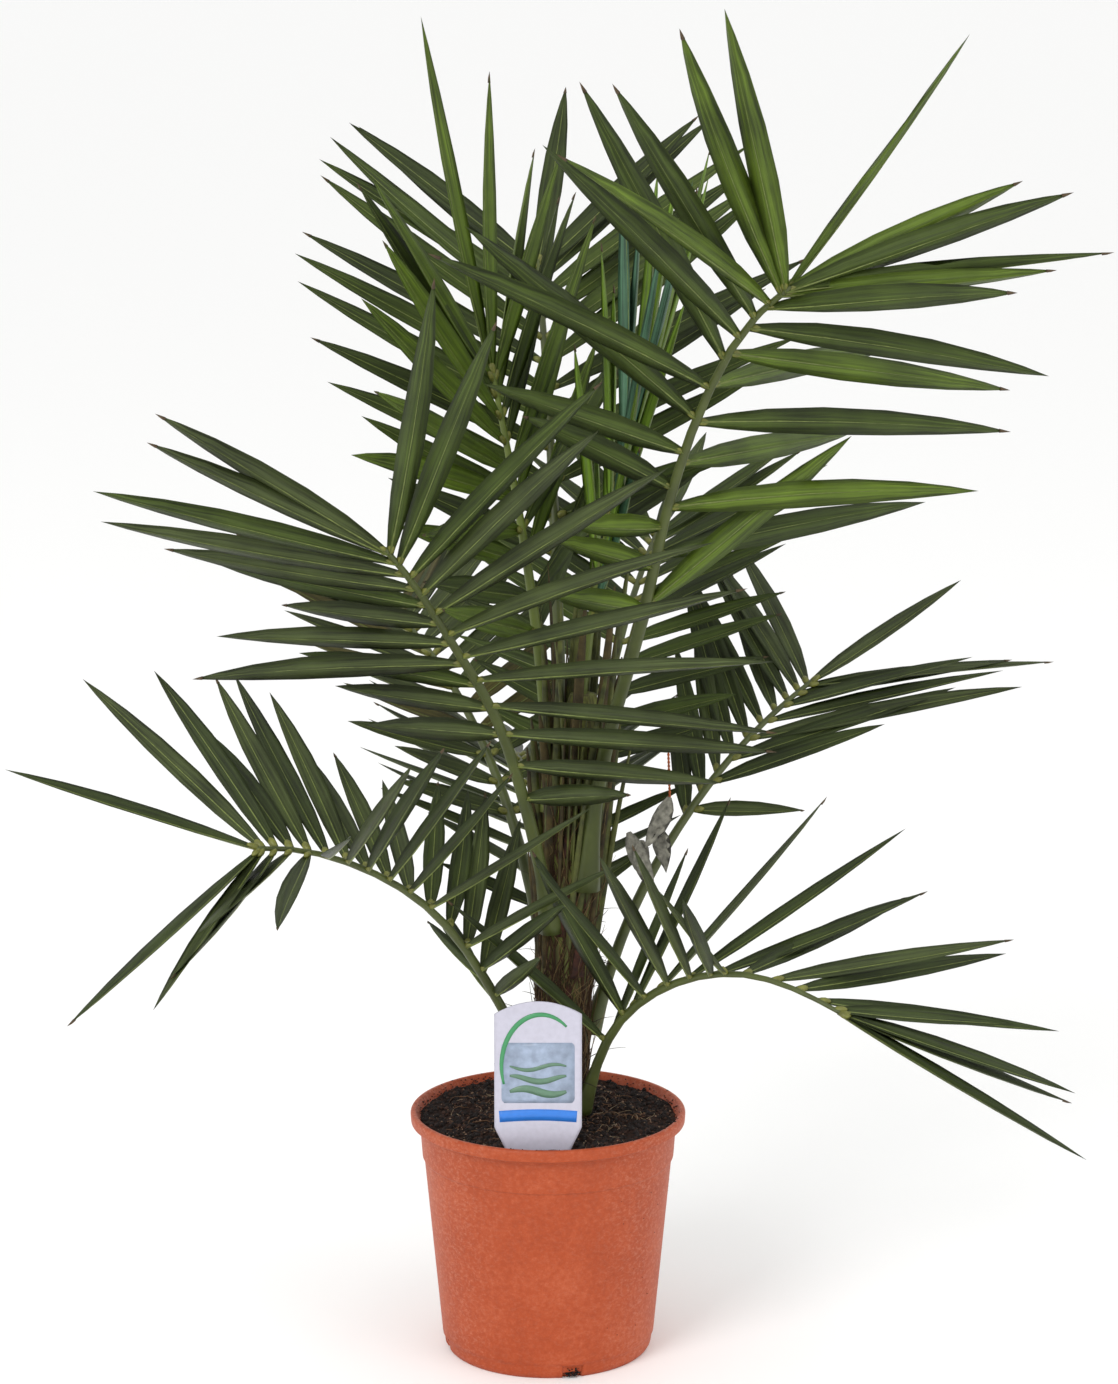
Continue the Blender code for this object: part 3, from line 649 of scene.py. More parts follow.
FRONDS = (
    Frond(
        "frond_right_tall", -50, 0.330, 0.022, (4, 15, 25, 15, 24, 36, 62), 0.195, 0.281,
        (
            end_leaflet(R, 42, 30, 0.237),
            end_leaflet(L, 65, 65, 0.217),
            end_leaflet(L, 39, 28, 0.166, -30),
            end_leaflet(L, 27, 16, 0.190, -30),
            end_leaflet(L, 45, 6, 0.209, -30),
            Fan(
                R, 12, (70, 77, 76, 68, 57, 56, 59), (-10, -7, 19, 8, 14, -6, 7),
                (0.093, 0.073, 0.124, 0.228, 0.225, 0.261, 0.234), stagger=(-4, 9),
            ),
            Fan(
                L, 10, (47, 79, 89, 82, 96, 42, 38), (3, -12, 16, 19, 16, -35, -12),
                (0.179, 0.204, 0.193, 0.238, 0.214, 0.182, 0.163), 0.06, (7, 13), twist=-30,
            ),
        ),
        roll=-20, thick=0.0056, width=0.018, seed=3, tints=(Tint.MID, Tint.FRESH),
    ),
    Frond(
        "frond_left_mid", 235, 0.300, 0.016, (14, 20, 26, 42, 41, 51), 0.090, 0.257,
        (
            end_leaflet(R, 16, 2, 0.200, -25),
            Fan(
                R, 11, (76, 54, 73, 74, 63, 56, 22), (-3, 4, -11, 14, 4, 1, -8),
                (0.093, 0.108, 0.194, 0.112, 0.165, 0.206, 0.196), 0.04, (1, -2), (0.22, 1.0), -25,
            ),
            Fan(
                L, 12, (91, 114, 91, 79, 63, 58, 37), (1, 5, -8, -1, 5, 16, 28),
                (0.077, 0.185, 0.214, 0.218, 0.186, 0.200, 0.219), stagger=(4, 1),
            ),
        ),
        roll=20, width=0.0165, seed=5, tints=(Tint.DULL, Tint.MID),
    ),
    Frond(
        "frond_left_low", 218, 0.171, 0.0072, (28, 32, 31, 42, 58, 68, 84), 0.093, 0.252,
        (
            end_leaflet(R, 27, 37, 0.176, 35),
            end_leaflet(L, 34, -42, 0.222, 35),
            Fan(R, 3, (62, 70), (20,), (0.085, 0.07), span=(0.0, 0.12)),
            Fan(
                R, 13, (75, 88, 92, 88, 88, 90, 80), (68, 58, 42, 31, 34, 30, 29),
                (0.14, 0.13, 0.122, 0.134, 0.197, 0.124, 0.199), 0.03, (-2, 3), (0.08, 1.0), 35,
            ),
            Fan(
                L, 14, (54, 73, 77, 62, 59, 40, 40), (13, 39, 35, 40, 15, -37, -38),
                (0.077, 0.148, 0.163, 0.172, 0.188, 0.131, 0.182), 0.03, (-2, 0), twist=35,
            ),
        ),
        thick=0.0045, width=0.0145, split=0.50, seed=7, tints=(Tint.DEEP, Tint.DULL),
    ),
    Frond(
        "frond_right_low", -38, 0.171, 0.0149, (18, 22, 48, 64, 80, 100, 108), 0.044, 0.229,
        (
            end_leaflet(L, 17, 29, 0.173, 35),
            end_leaflet(L, 10, 20, 0.165, 35),
            end_leaflet(L, 1, -30, 0.194, 35),
            Fan(
                R, 7, (65, 56, 63, 62, 62, 60, 81), (51, 35, 39, 36, 47, 36, 39),
                (0.153, 0.162, 0.174, 0.166, 0.159, 0.136, 0.125), 0.03, (0, 0), (0.0, 0.62), 35,
            ),
            Fan(
                L, 10, (31, 46, 48, 86, 61, 52, 21), (44, 48, 19, 4, 18, 5, 40),
                (0.155, 0.173, 0.189, 0.180, 0.169, 0.169, 0.122), 0.03, (9, 0), twist=35,
            ),
        ),
        thick=0.0042, width=0.0145, split=0.52, seed=9, tints=(Tint.DEEP, Tint.DULL),
    ),
    Frond(
        "frond_right_back", 40, 0.220, 0.0225, (22, 26, 40, 48, 58, 66), 0.140, 0.173,
        (
            end_leaflet(R, 11, 36, 0.141),
            Fan(
                R, 8, (58, 34, 42, 36, 24, 32, 33), (-4, 2, 0, -5, -13, -11, -18),
                (0.081, 0.137, 0.186, 0.213, 0.145, 0.170, 0.191), 0.05, (1, 6), (0.12, 1.0),
            ),
            Fan(
                L, 10, (41, 39, 49, 57, 56, 62, 54), (1, 2, 0, 5, -2, -2, 0),
                (0.103, 0.156, 0.173, 0.184, 0.182, 0.188, 0.179), 0.03, (0, 2), (0.1, 1.0),
            ),
        ),
        roll=20, thick=0.0045, width=0.0145, seed=11, tints=(Tint.DEEP, Tint.DULL),
    ),
    Frond(
        "frond_back_tall", 96, 0.350, 0.020, (5, 13, 22, 34, 42), 0.190, 0.240,
        (end_leaflet(R, 8, 0, 0.17),)
        + even_fans(12, (64, 65, 62, 56, 50, 42), (10,), (0.13, 0.18, 0.20, 0.20, 0.20, 0.18)),
        width=0.0165, seed=13, tints=(Tint.MID, Tint.DEEP),
    ),
    Frond(
        "frond_young_left", 150, 0.380, 0.011, (3, 7, 11, 14), 0.110, 0.190,
        (
            end_leaflet(R, 3, 10, 0.25),
            end_leaflet(R, 14, 20, 0.21),
            Fan(R, 10, (45, 42, 40, 38, 36, 33), (10,), (0.14, 0.18, 0.20, 0.20, 0.20, 0.19), 0.01),
            Fan(L, 10, (76, 76, 74, 62, 48, 36), (8,), (0.17, 0.18, 0.19, 0.20, 0.20, 0.19), 0.02),
        ),
        width=0.018, slot="young_palm_leaf", seed=15, tints=(Tint.FRESH, Tint.MID),
    ),
    Frond(
        "frond_young_centre", 15, 0.420, 0.008, (4, 8, 12, 15), 0.080, 0.150,
        (end_leaflet(R, 2, 0, 0.20),)
        + even_fans(8, (28, 24, 22, 18, 13), (12,), (0.14, 0.19, 0.22, 0.21, 0.19)),
        # Some of the young centre's leaflets carry the green with the painted bluish reflection.
        thick=0.0042, width=0.016, slot="young_palm_leaf", seed=17, tints=(Tint.YOUNG, Tint.BLUE),
    ),
    Frond(
        "frond_back_right", 74, 0.270, 0.024, (12, 24, 40, 56, 66), 0.130, 0.230,
        (end_leaflet(R, 2, 0, 0.15),)
        + even_fans(12, (75, 72, 66, 58, 50, 40), (14,), (0.09, 0.12, 0.13, 0.14, 0.15, 0.15)),
        thick=0.0048, width=0.015, seed=19, tints=(Tint.MID, Tint.DEEP),
    ),
    Frond(
        "frond_back_left", 120, 0.245, 0.022, (14, 28, 44, 60, 72), 0.120, 0.220,
        (end_leaflet(R, 2, 0, 0.15),)
        + even_fans(12, (75, 72, 66, 58, 50, 40), (14,), (0.09, 0.11, 0.12, 0.13, 0.14, 0.14)),
        thick=0.0048, width=0.015, seed=21, tints=(Tint.DULL, Tint.OLIVE),
    ),
    Frond(
        "frond_back_low", 98, 0.205, 0.020, (20, 36, 56, 74, 90), 0.090, 0.210,
        (end_leaflet(R, 2, 5, 0.14),)
        + even_fans(11, (72, 74, 68, 60, 50, 38), (22,), (0.09, 0.12, 0.14, 0.14, 0.14, 0.13), 25),
        thick=0.0044, width=0.0145, split=0.52, seed=23, tints=(Tint.DEEP, Tint.DULL),
    ),
)

CROWN_X = 0.012
RIB_STEPS = 14
RIB_SIDES = 6
BASE_SHARE = 0.12
BASE_SWELL = 0.75
RIB_THINNING = 0.62
CLEARANCE = 0.0005
TIP_CROWDING = 1.35
LAST_SHARE = 0.992
SPREAD_JITTER = 2.0
RISE_JITTER = 3.0
LENGTH_JITTER = 0.03
LEAF_SECTIONS = ((0.0, 0.30), (0.14, 0.70), (0.46, 1.0))
LEAF_KEEL = 0.26
LEAF_LEAST_DEPTH = 0.0115
TRIES = (
    (0, 0, 1.0), (0, 5, 1.0), (0, -5, 1.0), (4, 2, 1.0), (-4, -2, 1.0), (0, 10, 1.0), (0, -10, 1.0),
    (7, -6, 1.0), (-7, 6, 1.0), (3, 15, 0.97), (-3, -15, 0.97), (0, 0, 0.85), (5, 10, 0.85), (-5, -10, 0.85),
    (0, 0, 0.7), (6, 12, 0.7), (-6, -12, 0.7),
)


def along(knots: tuple[float, ...], share: float) -> float:
    """The value at a share of a run of equally spaced knots."""
    return float(np.interp(share, np.linspace(0.0, 1.0, len(knots)), knots))


def unit(vectors: np.ndarray) -> np.ndarray:
    """The vectors at length one."""
    return vectors / np.linalg.norm(vectors, axis=-1, keepdims=True)


class Rib:
    """A frond's rib: its places, forward and upper directions at equal steps."""

    def __init__(self, frond: Frond) -> None:
        """Works out the rib: its lean from upright is a broken line over its length.

        Args:
            frond: The frond it belongs to.
        """
        self.frond = frond
        self.length = frond.stalk + frond.rib
        self.shares = np.linspace(0.0, 1.0, RIB_STEPS + 1)
        knots = np.linspace(0.0, 1.0, len(frond.leans))
        lean = np.radians(np.interp(self.shares, knots, frond.leans))[:, None]
        turn = math.radians(frond.azimuth)
        out = np.array([[math.cos(turn), math.sin(turn), 0.0]])
        up = np.array([[0.0, 0.0, 1.0]])
        self.forwards = out * np.sin(lean) + up * np.cos(lean)
        flat = up * np.sin(lean) - out * np.cos(lean)
        roll = math.radians(frond.roll)
        self.uppers = flat * math.cos(roll) + np.cross(self.forwards, flat) * math.sin(roll)
        steps = (self.forwards[1:] + self.forwards[:-1]) * (self.length / RIB_STEPS / 2)
        start = np.array([CROWN_X, 0.0, frond.foot]) + out[0] * frond.reach
        self.places = start + np.concatenate([np.zeros((1, 3)), np.cumsum(steps, axis=0)])

    def at(self, shares: np.ndarray) -> tuple[np.ndarray, np.ndarray, np.ndarray]:
        """Where the rib is and how it is turned.

        Args:
            shares: Shares of its length from the foot.

        Returns:
            Places, forward directions and upper directions.
        """
        shares = np.atleast_1d(shares)

        def mixed(values: np.ndarray) -> np.ndarray:
            """The values at the shares, component by component."""
            return np.stack([np.interp(shares, self.shares, values[:, k]) for k in range(3)], -1)

        return mixed(self.places), unit(mixed(self.forwards)), unit(mixed(self.uppers))

    def radius(self, shares: np.ndarray) -> np.ndarray:
        """The rib's half thickness, swollen at its foot and thin at its tip."""
        swell = BASE_SWELL * np.maximum(0.0, 1.0 - shares / BASE_SHARE)
        return self.frond.thick * (1.0 + swell - RIB_THINNING * shares)

    def shell(self, start: float, end: float) -> Shape:
        """The rib between two shares as its solid has it, with the clearance that leaflets keep.

        Args:
            start: The share where it starts.
            end: The share where it ends.

        Returns:
            The closed tube.
        """
        shares = np.linspace(start, end, max(2, round((end - start) * RIB_STEPS)) + 1)
        return sweep(self.at(shares)[0], self.radius(shares) + CLEARANCE, RIB_SIDES)


@dataclass(frozen=True)
class Leaflet:
    """A folded leaflet: its root, direction, upper face and size, and its place on its rib."""

    root: np.ndarray
    forward: np.ndarray
    upper: np.ndarray
    length: float
    width: float
    droop: float
    share: float

    def solid(self, grow: float = 0.0) -> tuple[list, list]:
        """The leaflet's plain body, three points to a section and one at the tip.

        Args:
            grow: How far it is grown all round.

        Returns:
            Its points and its faces.
        """
        side = np.cross(self.forward, self.upper)
        verts = []
        for share, wide in LEAF_SECTIONS:
            way = self.forward * share - np.array([0, 0, self.droop * share**2])
            middle = self.root + way * self.length
            half = self.width / 2 * wide + grow
            depth = max(self.width * LEAF_KEEL * wide, self.length * LEAF_LEAST_DEPTH) + grow
            verts += [middle - side * half + self.upper * grow, middle + side * half + self.upper * grow]
            verts.append(middle - self.upper * depth)
        tip = len(verts)
        way = self.forward - np.array([0, 0, self.droop])
        verts.append(self.root + way * self.length + self.forward * grow)
        faces = [(0, 2, 1)]
        for base in range(0, tip - 3, 3):
            for k in range(3):
                a, b = base + k, base + (k + 1) % 3
                faces += [(a, b, b + 3), (a, b + 3, a + 3)]
        faces += [(tip - 3 + k, tip - 3 + (k + 1) % 3, tip) for k in range(3)]
        return np.array(verts).tolist(), faces


@dataclass(frozen=True)
class Plan:
    """Where a leaflet is meant to stand on its rib."""

    share: float
    splay: float
    rise: float
    side: Side
    length: float
    droop: float
    twist: float

    def leaflet(self, rib: Rib, more_splay: float, more_rise: float, part: float) -> Leaflet:
        """The leaflet, turned from its plan by two angles and cut to a part of its length.

        Args:
            rib: The rib it stands on.
            more_splay: Degrees added to its splay.
            more_rise: Degrees added to its rise.
            part: The share of its length that is kept.

        Returns:
            The leaflet.
        """
        places, forwards, uppers = rib.at(np.array([self.share]))
        spot, forward, upper = places[0], forwards[0], uppers[0]
        right = np.cross(forward, upper)
        splay, rise = math.radians(self.splay + more_splay), math.radians(self.rise + more_rise)
        aside = right * self.side.value * math.cos(rise) + upper * math.sin(rise)
        way = unit(forward * math.cos(splay) + aside * math.sin(splay))
        twist = math.radians(self.twist)
        face = upper * math.cos(twist) + forward * math.sin(twist)
        face = unit(face - way * (face @ way))
        return Leaflet(spot, way, face, self.length * part, rib.frond.width, self.droop, self.share)


def fan_plan(rib: Rib, fan: Fan, rng: np.random.Generator) -> list[Plan]:
    """The plans of a fan's leaflets, which stand closer towards the tip.

    Args:
        rib: The rib they stand on.
        fan: The fan.
        rng: Where the jitter comes from.

    Returns:
        The plans from the foot to the tip.
    """
    first = rib.frond.stalk / rib.length
    plans = []
    for k in range(fan.count):
        even = 1.0 - (1.0 - (k + 0.5) / fan.count) ** TIP_CROWDING
        share = first + (LAST_SHARE - first) * (fan.span[0] + (fan.span[1] - fan.span[0]) * even)
        order = k / max(1, fan.count - 1)
        turn = 1.0 if k % 2 else -1.0
        splay = along(fan.splay, order) + turn * fan.stagger[0] + rng.normal(0.0, SPREAD_JITTER)
        rise = along(fan.rise, order) + turn * fan.stagger[1] + rng.normal(0.0, RISE_JITTER)
        length = along(fan.length, order) * (1.0 + rng.normal(0.0, LENGTH_JITTER))
        plans.append(Plan(share, splay, rise, fan.side, length, fan.droop, fan.twist))
    return plans


@dataclass
class Crowd:
    """What already stands in the crown, so that a new leaflet can keep clear of it."""

    shapes: list = field(default_factory=list)

    def add(self, owner: str, verts: list, faces: list) -> None:
        """Adds a shape under its owner's name."""
        corners = np.array(verts)
        self.shapes.append((owner, corners.min(0), corners.max(0), BVHTree.FromPolygons(verts, faces)))

    def add_node(self, owner: str) -> None:
        """Adds a solid of the frame."""
        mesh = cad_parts[owner].data
        self.add(owner, [tuple(v.co) for v in mesh.vertices], [tuple(p.vertices) for p in mesh.polygons])

    def touches(self, owner: str, verts: list, faces: list) -> bool:
        """Whether a shape meets anything that isn't its owner's.

        Args:
            owner: The solid that the shape belongs to.
            verts: Its points.
            faces: Its faces.

        Returns:
            True where it meets something.
        """
        corners = np.array(verts)
        low, high = corners.min(0), corners.max(0)
        tree = None
        for other, other_low, other_high, other_tree in self.shapes:
            if other == owner or (other_low > high).any() or (low > other_high).any():
                continue
            tree = tree or BVHTree.FromPolygons(verts, faces)
            if tree.overlap(other_tree):
                return True
        return False


def clear_leaflet(rib: Rib, plan: Plan, owner: str, crowd: Crowd) -> Leaflet | None:
    """The planned leaflet, tilted or shortened until it is clear.

    Args:
        rib: The rib it stands on.
        plan: Its plan.
        owner: The solid it belongs to.
        crowd: What it keeps clear of.

    Returns:
        The leaflet, or None where there is no room.
    """
    for more_splay, more_rise, part in TRIES:
        leaflet = plan.leaflet(rib, more_splay, more_rise, part)
        if not crowd.touches(owner, *leaflet.solid(CLEARANCE)):
            return leaflet
    return None


@dataclass
class Blades:
    """Thin folded blades over all of a set of leaflets at once."""

    leaflets: list[Leaflet]
    seed: int
    sections: tuple[float, ...] = (0.0, 0.03, 0.10, 0.22, 0.40, 0.60, 0.78, 0.91)
    widths: tuple[float, ...] = (0.28, 0.34, 0.58, 0.86, 1.0, 0.92, 0.64, 0.31)
    fold: float = 0.25
    sheet: float = 0.0005
    twist_spread: float = 13.0
    bend_spread: float = 0.028

    def __post_init__(self) -> None:
        """Gathers the leaflets' numbers and draws their small twists and bends."""
        rng = np.random.default_rng(self.seed)
        self.root = np.array([leaf.root for leaf in self.leaflets])
        self.forward = np.array([leaf.forward for leaf in self.leaflets])
        self.upper = np.array([leaf.upper for leaf in self.leaflets])
        self.length = np.array([leaf.length for leaf in self.leaflets])[:, None]
        self.width = np.array([leaf.width for leaf in self.leaflets])[:, None]
        self.droop = np.array([leaf.droop for leaf in self.leaflets])[:, None]
        self.turn = np.radians(rng.normal(0.0, self.twist_spread, (len(self.leaflets), 1)))
        self.bend = rng.normal(0.0, self.bend_spread, (len(self.leaflets), 1))

    def middle(self, u: np.ndarray) -> np.ndarray:
        """The folds' lines: root + length * (u forward + bend u^2 side - droop u^2 z).

        Args:
            u: Shares of the length, of shape (s,).

        Returns:
            Points of shape (leaflets, s, 3).
        """
        side = np.cross(self.forward, self.upper)
        run = self.forward[:, None] * u[None, :, None] + side[:, None] * (self.bend * u**2)[..., None]
        run[..., 2] -= self.droop * u**2
        return self.root[:, None] + run * self.length[..., None]

    def axes(self, u: np.ndarray) -> tuple[np.ndarray, np.ndarray]:
        """The blades' side and upper directions, turned about the fold by turn * u.

        Args:
            u: Shares of the length.

        Returns:
            Side and upper directions, each of shape (leaflets, s, 3).
        """
        side = np.cross(self.forward, self.upper)[:, None]
        upper = self.upper[:, None]
        c, s = np.cos(self.turn * u)[..., None], np.sin(self.turn * u)[..., None]
        return side * c + upper * s, upper * c - side * s

    def packed(self, rings: np.ndarray, tips: np.ndarray, across: np.ndarray, u: np.ndarray) -> Shape:
        """Closes each blade's rings with a fan at the foot and at the tip.

        Args:
            rings: Points of shape (leaflets, s, sides, 3).
            tips: The tips, of shape (leaflets, 3).
            across: The UV across each side point.
            u: Shares of the length.

        Returns:
            One shape of all the blades.
        """
        count, rows, sides = rings.shape[:3]
        own = rows * sides + 2
        feet = rings[:, 0].mean(1)
        verts = np.concatenate([rings.reshape(count, -1, 3), feet[:, None], tips[:, None]], 1).reshape(-1, 3)
        flat = np.stack(np.broadcast_arrays(across[None, :], u[:, None]), -1).reshape(-1, 2)
        flat = np.concatenate([flat, [[0.0, 0.0], [0.0, 1.0]]])
        uv = np.tile(flat, (count, 1, 1))
        uv[..., 1] *= self.length
        side = np.arange(sides)
        after = (side + 1) % sides
        foot = np.stack([after, side, np.full(sides, rows * sides)], -1)
        top = (rows - 1) * sides
        tip = np.stack([top + side, top + after, np.full(sides, rows * sides + 1)], -1)
        starts = (np.arange(count) * own)[:, None, None]
        quads = (ring_quads(rows, sides)[None] + starts).reshape(-1, 4)
        tris = (np.concatenate([foot, tip])[None] + starts).reshape(-1, 3)
        return Shape(verts, quads, tris, uv.reshape(-1, 2)).outward()

    def blades(self) -> Shape:
        """The blades: a V of half width w(u) and depth fold * 2 w(u), its halves a little arched."""
        u = np.array(self.sections)
        middle, (side, upper) = self.middle(u), self.axes(u)
        half = (self.width / 2 * np.array(self.widths))[..., None]
        depth = half * 2 * self.fold
        sheet = self.sheet
        ring = [
            middle - side * half,
            middle - side * half * 0.5 - upper * depth * 0.42,
            middle - upper * depth,
            middle + side * half * 0.5 - upper * depth * 0.42,
            middle + side * half,
            middle - upper * (depth + sheet),
        ]
        tips = self.middle(np.array([1.0]))[:, 0]
        across = np.array([-1.0, -0.5, 0.0, 0.5, 1.0, 0.0])
        return self.packed(np.stack(ring, 2), tips, across, u)

    def midribs(self) -> Shape:
        """The midribs: a diamond along the fold, 1 mm wide at the foot and fading to the tip."""
        u = np.array([0.0, 0.10, 0.25, 0.45, 0.65, 0.85])
        middle, (side, upper) = self.middle(u), self.axes(u)
        wide = np.interp(u, self.sections, self.widths)
        depth = (self.width / 2 * wide)[..., None] * 2 * self.fold
        fold = middle - upper * depth
        rib = (0.00065 * (1 - 0.75 * u))[None, :, None] * np.ones_like(depth)
        ring = [fold - side * rib, fold + upper * rib, fold + side * rib, fold - upper * (rib + self.sheet)]
        end = np.array([0.97])
        tips = (self.middle(end) - self.axes(end)[1] * 0.0006)[:, 0]
        return self.packed(np.stack(ring, 2), tips, np.array([-1.0, 0.0, 1.0, 0.0]), u)

    def knobs(self, size: float) -> Shape:
        """The swollen feet: round about the fold, radius size * sqrt(1 - t^2) over twice that length.

        Args:
            size: The knob's radius in metres.

        Returns:
            One shape of all the knobs.
        """
        t = np.array([-0.85, -0.45, 0.1, 0.6, 0.9])
        turn = np.linspace(0, 2 * math.pi, 6, endpoint=False)
        side = np.cross(self.forward, self.upper)
        reach = size * 1.7
        spine = self.root[:, None] + self.forward[:, None] * (reach * (t + 1.1))[None, :, None]
        over = 0.8 * self.upper[:, None]
        around = side[:, None] * np.cos(turn)[None, :, None] + over * np.sin(turn)[None, :, None]
        rings = spine[:, :, None] + around[:, None] * (size * np.sqrt(1 - t**2))[None, :, None, None]
        tips = self.root + self.forward * reach * 2.1
        return self.packed(rings, tips, np.cos(turn), (t + 1) / 2 * 0.05)

    def brown_tips(self, reach: float) -> Shape:
        """Dry tips: a thin cone over each blade's last share.

        Args:
            reach: The share of the length that is dry.

        Returns:
            One shape of all the tips.
        """
        u = 1.0 - reach * np.array([1.0, 0.5])
        middle, (side, upper) = self.middle(u), self.axes(u)
        wide = np.interp(u, self.sections + (1.0,), self.widths + (0.0,))
        half = (self.width / 2 * wide)[..., None] + 0.0003
        depth = half * 2 * self.fold
        ring = [middle - side * half, middle + upper * 0.0003 - upper * depth, middle + side * half]
        ring.append(middle - upper * (depth + self.sheet * 1.6))
        tips = self.middle(np.array([1.004]))[:, 0]
        return self.packed(np.stack(ring, 2), tips, np.array([-1.0, 0.0, 1.0, 0.0]), u)


@dataclass
class Crown:
    """All fronds: ribs, leaflets, midribs, knobs and dry tips."""

    rib_rows: int = 64
    rib_sides: int = 12
    knob: float = 0.0027
    second_share: float = 0.38
    dry_share: float = 0.45
    dry_reach: float = 0.035
    withered: tuple[tuple[float, float, float, float, float], ...] = (
        (0.081, -0.050, 0.402, -0.25, 0.036), (0.074, -0.050, 0.381, 0.20, 0.030),
        (0.054, -0.050, 0.378, 0.35, 0.040), (0.063, -0.048, 0.372, -0.10, 0.028),
    )
    ribs: list[Rib] = field(default_factory=lambda: [Rib(frond) for frond in FRONDS])

    def grown(self) -> dict[str, list[Leaflet]]:
        """The leaflets of every frond that stand clear, by the frond's name."""
        crowd = Crowd()
        for name in ("pot", "soil", "label", "stem"):
            crowd.add_node(name)
        for rib in self.ribs:
            for name, start, end in rib.frond.spans():
                shell = rib.shell(start, end)
                crowd.add(name, shell.verts.tolist(), shell.quads.tolist() + shell.tris.tolist())
        found = {}
        for rib in self.ribs:
            rng = np.random.default_rng(rib.frond.seed)
            plans = [plan for fan in rib.frond.fans for plan in fan_plan(rib, fan, rng)[::-1]]
            for plan in plans:
                owner = rib.frond.owner(plan.share)
                leaflet = clear_leaflet(rib, plan, owner, crowd)
                if leaflet:
                    crowd.add(owner, *leaflet.solid())
                    found.setdefault(rib.frond.name, []).append(leaflet)
        return found

    def rib_shape(self, rib: Rib) -> Shape:
        """A rib from inside the stem to its tip: wider than thick, with a low ridge along its top.

        Args:
            rib: The rib.

        Returns:
            Its closed tube.
        """
        shares = np.linspace(0.0, 1.0, self.rib_rows)
        places, forwards, uppers = rib.at(shares)
        asides = np.cross(forwards, uppers)
        radii = rib.radius(shares)[:, None, None]
        turn = np.linspace(0, 2 * math.pi, self.rib_sides, endpoint=False)
        across, over = np.cos(turn)[None, :, None], np.sin(turn)[None, :, None]
        lift = 0.86 * over + 0.12 * np.maximum(over, 0) ** 6
        rings = places[:, None] + radii * (across * asides[:, None] + lift * uppers[:, None])
        uv = np.stack(np.broadcast_arrays(turn[None, :] / math.pi - 1, shares[:, None] * rib.length), -1)
        last = places[-1] + forwards[-1] * radii[-1, 0, 0]
        return capped(rings, uv, places[0] - forwards[0] * 0.002, last)

    def build(self) -> None:
        """Makes every piece of the crown."""
        skins = {tint: LeafSkin(f"leaf_skin_{tint.name.lower()}", tint.value).made() for tint in Tint}
        stalks = {
            "palm_leaf": PlainMatter("frond_stalk", "464F1D", 0.5, 0.16, 0.02).made(),
            "young_palm_leaf": PlainMatter("young_frond_stalk", "5F6C28", 0.45, 0.14, 0.02).made(),
        }
        grown = self.grown()
        knobs, midribs, dry = [], [], []
        for rib in self.ribs:
            frond, leaflets = rib.frond, grown[rib.frond.name]
            shape = self.rib_shape(rib)
            place("stalk_" + frond.name[6:], shape, stalks[frond.slot], frond.slot, frond.nodes())
            rng = np.random.default_rng(frond.seed + 100)
            second = rng.random(len(leaflets)) < self.second_share
            for pick, tint in zip((~second, second), frond.tints):
                chosen = [leaf for leaf, take in zip(leaflets, pick) if take]
                blades = Blades(chosen, frond.seed + 10 * pick[0])
                name = f"leaflets_{frond.name[6:]}_{tint.name.lower()}"
                place(name, blades.blades(), skins[tint], frond.slot, frond.nodes())
                midribs.append(blades.midribs())
                knobs.append(blades.knobs(self.knob))
                dried = [k for k in range(len(chosen)) if rng.random() < self.dry_share]
                if dried:
                    dry.append(self.dry_part(blades, dried))
        parts = (
            ("leaflet_midribs", joined(midribs), PlainMatter("pale_midrib", "6A7636", 0.5)),
            ("leaflet_knobs", joined(knobs), PlainMatter("yellow_green_knob", "6C6E2A", 0.5)),
            ("dead_leaflets", self.dead_leaflets(), PlainMatter("grey_dead_leaf", "77756A", 0.85, 0.3)),
            ("hanging_thread", self.hanging_thread(), PlainMatter("dry_thread", "A8562A", 0.85)),
            ("dry_tips", joined(dry), PlainMatter("dry_leaf_tip", "4E3D25", 0.8)),
        )
        for name, shape, matter in parts:
            place(name, shape, matter.made(), "palm_leaf")

    def dead_leaflets(self) -> Shape:
        """The withered grey leaflets that hang at the right of the stem, curled."""
        hung = []
        for x, y, z, aside, length in self.withered:
            way = unit(np.array([aside, 0.0, -1.0]))
            toward = np.array([0.3, -1.0, 0.0])
            face = unit(toward - way * (toward @ way))
            hung.append(Leaflet(np.array([x, y, z]), way, face, length, 0.013, 0.05, 0.5))
        return Blades(hung, 5, twist_spread=60.0, bend_spread=0.20).blades()

    def hanging_thread(self) -> Shape:
        """A dry thread that hangs from a leaflet: two strands wound round each other."""
        t = np.linspace(0, 1, 33)
        middle = np.array([0.0805, -0.030, 0.437]) + t[:, None] * np.array([0.0015, 0.0, -0.0415])
        strands = []
        for start in (0.0, math.pi):
            turn = start + 16 * math.pi * t
            wound = 0.0005 * np.stack([np.cos(turn), np.sin(turn), np.zeros_like(t)], -1)
            strands.append(sweep(middle + wound, np.full_like(t, 0.00055), 5))
        return joined(strands)

    def dry_part(self, blades: Blades, picked: list[int]) -> Shape:
        """The dry tips of the picked blades.

        Args:
            blades: The set of blades.
            picked: Which of them are dry at the tip.

        Returns:
            Their tips.
        """
        part = Blades([blades.leaflets[k] for k in picked], 0)
        part.turn, part.bend = blades.turn[picked], blades.bend[picked]
        return part.brown_tips(self.dry_reach)


